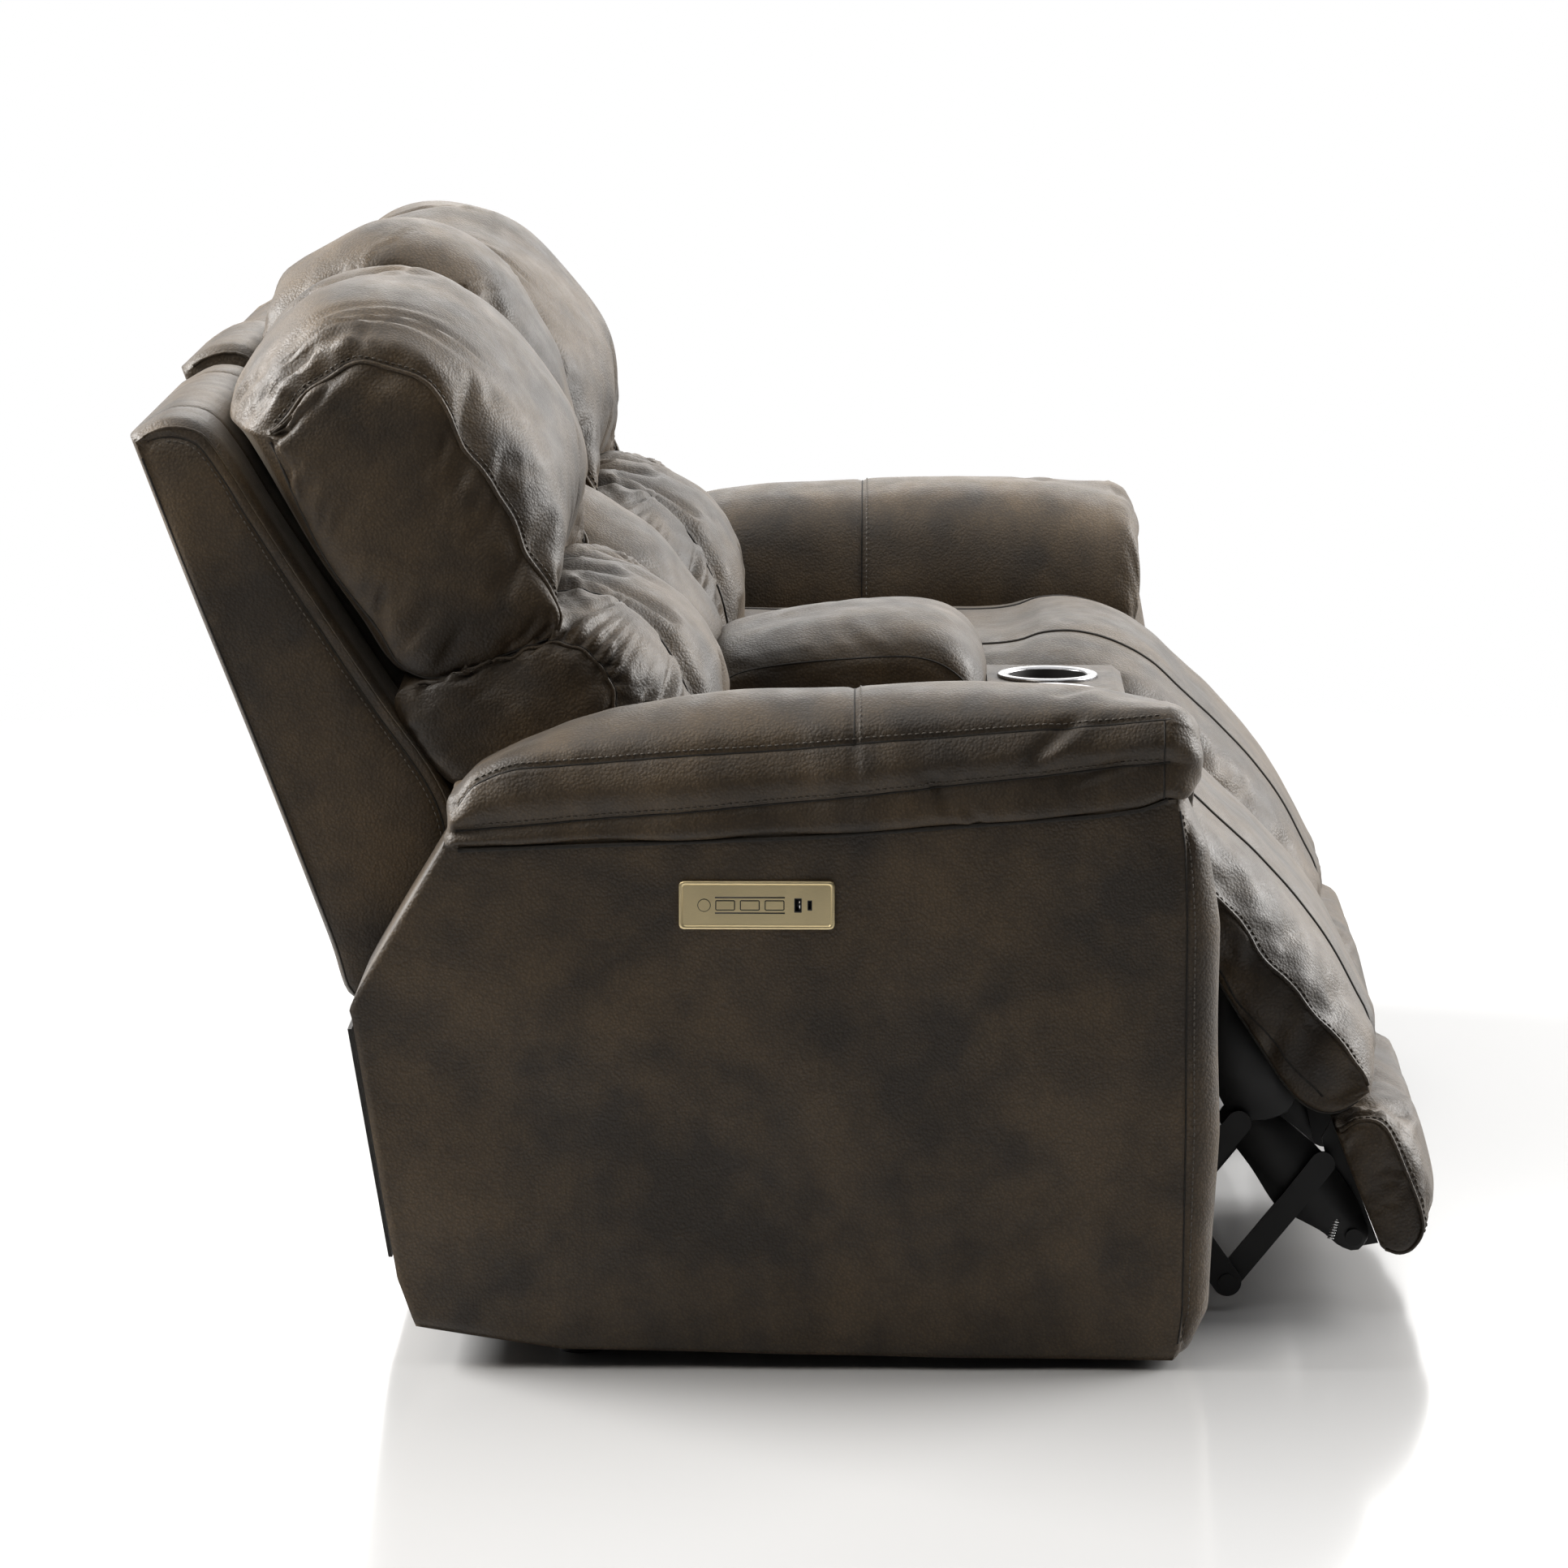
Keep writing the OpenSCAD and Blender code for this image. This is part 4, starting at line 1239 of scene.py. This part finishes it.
def plate_rim():
    """The bright rolled edge of the control plate."""
    lo, hi = node_box("control_plate_right")
    mesh = Mesh()
    loops = [(round_loop(*grown(lo, hi, by), radius), out)
             for by, radius, out in ((1.3, 5.5, -3.0), (1.3, 5.5, 0.2), (0.6, 5.0, 1.1),
                                     (-0.8, 4.0, 1.4), (-2.2, 3.0, 0.9), (-2.8, 2.6, -0.2))]
    mesh.add(*ring_around(loops, lo[0]))
    return mesh


def plate_marks():
    """Thin dark rings round the buttons and two thin dark bars along the rocker row, standing just proud
    of the plate: painted shade of the button gaps and of engraved grooves.
    """
    plate_lo, plate_hi = node_box("control_plate_right")
    face = plate_lo[0]
    mesh = Mesh()
    rockers = [node_box(f"{part}_rocker_right") for part in ("recline", "headrest", "lumbar")]
    for lo, hi in rockers:
        loops = [(round_loop(*grown(lo, hi, by), 0.6 + max(by, 0)), out)
                 for by, out in ((1.2, -0.1), (1.1, 0.12), (0.25, 0.12), (0.2, -0.1))]
        mesh.add(*ring_around(loops, face))
    lo, hi = node_box("home_button_right")
    radius = (hi[1] - lo[1]) / 2
    loops = [(round_loop(*grown(lo, hi, by), radius + by, 10), out)
             for by, out in ((0.8, -0.1), (0.75, 0.12), (0.2, 0.12), (0.15, -0.1))]
    mesh.add(*ring_around(loops, face))
    past, spacing, half_line = 1.5, 7.8, 0.7
    first = min(lo[1] for lo, hi in rockers) - past
    last = max(hi[1] for lo, hi in rockers) + past
    middle = (plate_lo[2] + plate_hi[2]) / 2
    for height in (middle - spacing, middle + spacing):
        mesh.add(*bar((face - 0.12, first, height - half_line), (face + 0.3, last, height + half_line)))
    return mesh


def port_inserts():
    """Black linings of the two charging ports and the contact tongue of the wider one."""
    plate_lo, plate_hi = node_box("control_plate_right")
    face = plate_lo[0]
    middle = (plate_lo[2] + plate_hi[2]) / 2
    centre = (plate_lo[1] + plate_hi[1]) / 2
    dark, bright = Mesh(), Mesh()
    for forward, half_f, half_z in ((40.8, 3.0, 6.5), (52.5, 1.6, 4.4)):
        place = centre + forward
        loops = [(round_loop((place - half_f + by, middle - half_z + by),
                             (place + half_f - by, middle + half_z - by), 0.5), out)
                 for by, out in ((-0.7, -0.1), (-0.7, 0.1), (0.15, 0.1), (0.15, -6.2))]
        dark.add(*ring_around(loops, face))
        dark.add(*bar((face + 5.8, place - half_f, middle - half_z),
                      (face + 6.3, place + half_f, middle + half_z)))
    bright.add(*bar((face + 1.0, centre + 41.9, middle - 5.4), (face + 5.8, centre + 43.2, middle + 5.4)))
    return dark, bright


def plate_outline(points, x0, x1, edge=0.9):
    """A flat steel plate with eased edges from a closed outline of [forward, height]."""
    shrink = unit(points - points.mean(0))
    rows = [(x0, edge), (x0 + edge, 0), (x1 - edge, 0), (x1, edge)]
    verts = np.vstack([np.column_stack([np.full(len(points), x), points - shrink * by])
                       for x, by in rows])
    ids = numbered(len(rows), len(points))
    faces = [ring_cells(ids), ids[:1], ids[-1:, ::-1]]
    ahead = np.roll(points, -1, axis=0)
    area = np.sum(points[:, 0] * ahead[:, 1] - points[:, 1] * ahead[:, 0])
    return verts, [f[:, ::-1] for f in faces] if area < 0 else faces


def plates(keys, count, starts, thick):
    """A pressed plate at each of those places across, from the keys of its closed outline."""
    outline = spline(keys, count)[:-1]
    mesh = Mesh()
    for start in starts:
        mesh.add(*plate_outline(outline, start, start + thick))
    return mesh


def wide_link(thick=5):
    """The front link as it is pressed: wide between its pivots, narrow at its foot."""
    outer = node_box("front_link_right")[0][0]
    keys = [(452, 206), (462, 219), (482, 222), (510, 208), (550, 176), (586, 133),
            (603, 100), (609, 78), (598, 62), (580, 66), (560, 82), (534, 96),
            (512, 110), (486, 150), (458, 188), (452, 206)]
    return plates(keys, 60, (outer, 2 * SEAT_X - outer - thick), thick)


def chaise_bracket(flank=262, thick=4):
    """The steel arm behind the chaise pad that ties it to the linkage."""
    keys = [(442, 300), (446, 352), (458, 362), (474, 334), (504, 280), (530, 238),
            (526, 212), (498, 200), (466, 206), (446, 244), (442, 300)]
    return plates(keys, 44, (SEAT_X - flank, SEAT_X + flank - thick), thick)


def coil_spring():
    """The small bright spring beside the footrest bracket."""
    turns, radius, wire = 7, 3.0, 0.8
    x = SEAT_X - 285
    start, end = np.array([574.0, 100.0]), np.array([568.0, 80.0])
    way = unit(end - start)
    side = np.array([-way[1], way[0]])
    t = np.linspace(0, turns, turns * 14 + 1)
    angle = 2 * np.pi * t
    out = np.column_stack([np.cos(angle), side * np.sin(angle)[:, None]])
    middle = np.column_stack([np.full(len(t), x), start + (end - start) * (t / turns)[:, None]])
    mesh = Mesh()
    mesh.add(*tube(middle + radius * out, out, wire))
    return mesh


def add_piece(mesh, name, materials, body, side=None, nodes=()):
    """Builds a piece with its materials and hangs it on one body, or, given two bodies, leaves it fixed
    where it stands;
    then hides the CAD nodes that it stands for."""
    tag = f"_{side}" if side else ""
    piece = mesh.build(name + tag, materials, side == "left")
    if isinstance(body, tuple):
        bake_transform(piece)
    else:
        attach(piece, body if body == "root" else body + tag)
    if nodes:
        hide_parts(*[node + tag for node in nodes])


def add_upholstery(hide):
    per_side = (
        ("headrest_cover", headrest_pillow(), "headrest", ["headrest_pillow"], 0.8),
        ("lumbar_cover", lumbar_pad(), "lumbar", ["lumbar_pad"], 0.75),
        ("footrest_cover", footrest_pad(), "footrest", ["footrest_pad"], 0.8),
        ("back_cover", back_shell(), "back", ["back_shell"], None),
        ("seat_cover", seat_cover(), ("seat", "chaise"), ["seat_cushion", "chaise_pad"], 0.75),
        ("arm_cover", arm_panels(), "root",
         ["arm_outer_panel", "arm_inner_panel", "arm_front"], None),
        ("arm_pad_cover", arm_pad(), "root", ["arm_pad"], 0.8),
    )
    for side in SIDES:
        for name, mesh, body, nodes, fill in per_side:
            if body != "root":
                mesh.squeeze(SEAT_X, SEAT_HALF + 1)
            add_piece(mesh, name, hide, body, side, nodes)
    for name, mesh, body, node, fill in (
            ("console_back_pad_cover", console_back_pad(), "root", "console_back_pad", 0.8),
            ("console_back_cover", console_back_shell(), "root", "console_back_shell", None),
            ("console_lid_cover", console_lid(), "console_lid", "console_lid", 0.7)):
        add_piece(mesh, name, hide, body, nodes=[node])


def build_all():
    leather = leather_material("leather", (0.0212, 0.0134, 0.0060), (0.0735, 0.0480, 0.0226))
    thread = grained("thread", (0.034, 0.028, 0.021), (0.095, 0.080, 0.063), (1500, 2.0),
                     (0.0002, 0.5), Roughness=0.6)
    # The seam material colours the very dark tubes laid along seams and channels: painted shade in their
    # gaps, not a colour of the leather or thread.
    seam = grained("seam", (0.008, 0.0065, 0.005), (0.022, 0.018, 0.014), (300, 2.0),
                   (0.0003, 0.5), Roughness=0.8)
    steel = painted_steel()
    stainless = bright_metal("stainless", (0.82, 0.82, 0.82), 0.16, (150, 150, 4000))
    # A darker copy of the stainless material for the cup rims: painted shade on the same steel.
    stainless_painted_shade = bright_metal("stainless_painted_shade", (0.36, 0.36, 0.37), 0.26, (150, 150, 4000))
    champagne = bright_metal("champagne", (0.86, 0.72, 0.43), 0.36, (150, 150, 6000))
    wood = grained("plywood", (0.36, 0.23, 0.12), (0.60, 0.43, 0.26), (1.0, 4.0, 0.6, 0.8),
                   (0.0004, 0.5), (60, 5, 60), Roughness=0.7)
    cloth = grained("dust_cloth", (0.008, 0.008, 0.008), (0.030, 0.028, 0.027),
                    (260, 4.0, 0.7, 1.5), (0.0005, 0.6), Roughness=0.9, Sheen_Weight=0.2)
    plastic = grained("black_plastic", (0.0176,) * 3, (0.022,) * 3, (1200, 2.0),
                      (0.00012, 0.4), Roughness=0.5)
    add_upholstery([leather, thread, seam])

    lo, hi = node_box("cup_holders")
    for name, profile, material, slot_name, nodes in (
            ("cup_rims", spline(CUP_RIM, 24), stainless_painted_shade, "stainless", ["cup_holders"]),
            ("cup_wells", CUP_WELL, plastic, "black_plastic", [])):
        cups = Mesh()
        for x in (lo[0] + CUP_RADIUS, hi[0] - CUP_RADIUS):
            cups.add(*cup_insert(x, (lo[1] + hi[1]) / 2, hi[2] - 3, profile))
        add_piece(cups, name, [material], "root", nodes=nodes)

    linings, tongue = port_inserts()
    fittings = (
        ("plate_rim", plate_rim(), champagne, "champagne_metal", "root", []),
        ("plate_marks", plate_marks(), plastic, "black_plastic", "root", []),
        ("port_linings", linings, plastic, "black_plastic", "root", []),
        ("port_tongue", tongue, stainless, "stainless", "root", []),
        ("front_link_plate", wide_link(), steel, "black_steel", "front_link", ["front_link"]),
        ("chaise_bracket", chaise_bracket(), steel, "black_steel", "chaise", []),
        ("footrest_spring", coil_spring(), stainless, "stainless", "footrest", []),
    )
    for side in SIDES:
        for name, mesh, material, slot_name, body, nodes in fittings:
            add_piece(mesh, name, [material], body, side, nodes)

    for nodes, tags, material, width, steps in (
            ("drive_link rear_link brace_link footrest_bracket seat_side_plates seat_motors",
             SIDES, steel, 0.7, 2),
            ("control_plate", SIDES, champagne, 0.9, 3),
            ("home_button recline_rocker headrest_rocker lumbar_rocker", SIDES, champagne, 0.5, 3),
            ("seat_deck arm_base_board", SIDES, wood, 1.0, 2),
            ("base_rail_front base_rail_rear seat_runners", (), steel, 1.5, 2),
            ("rear_cover", (), cloth, 0, 0),
            ("glide_feet", (), plastic, 2.0, 3),
            ("power_inlet", (), plastic, 1.0, 2),
            ("console_box console_tray", (), leather, 5.0, 4)):
        for node in nodes.split():
            for name in [f"{node}_{side}" for side in tags] or [node]:
                dress(name, material, width, steps)


make_camera()
make_world()
make_lights()
make_floor()
bpy.context.scene.view_settings.view_transform = "Standard"
build_all()

bpy.context.view_layer.update()
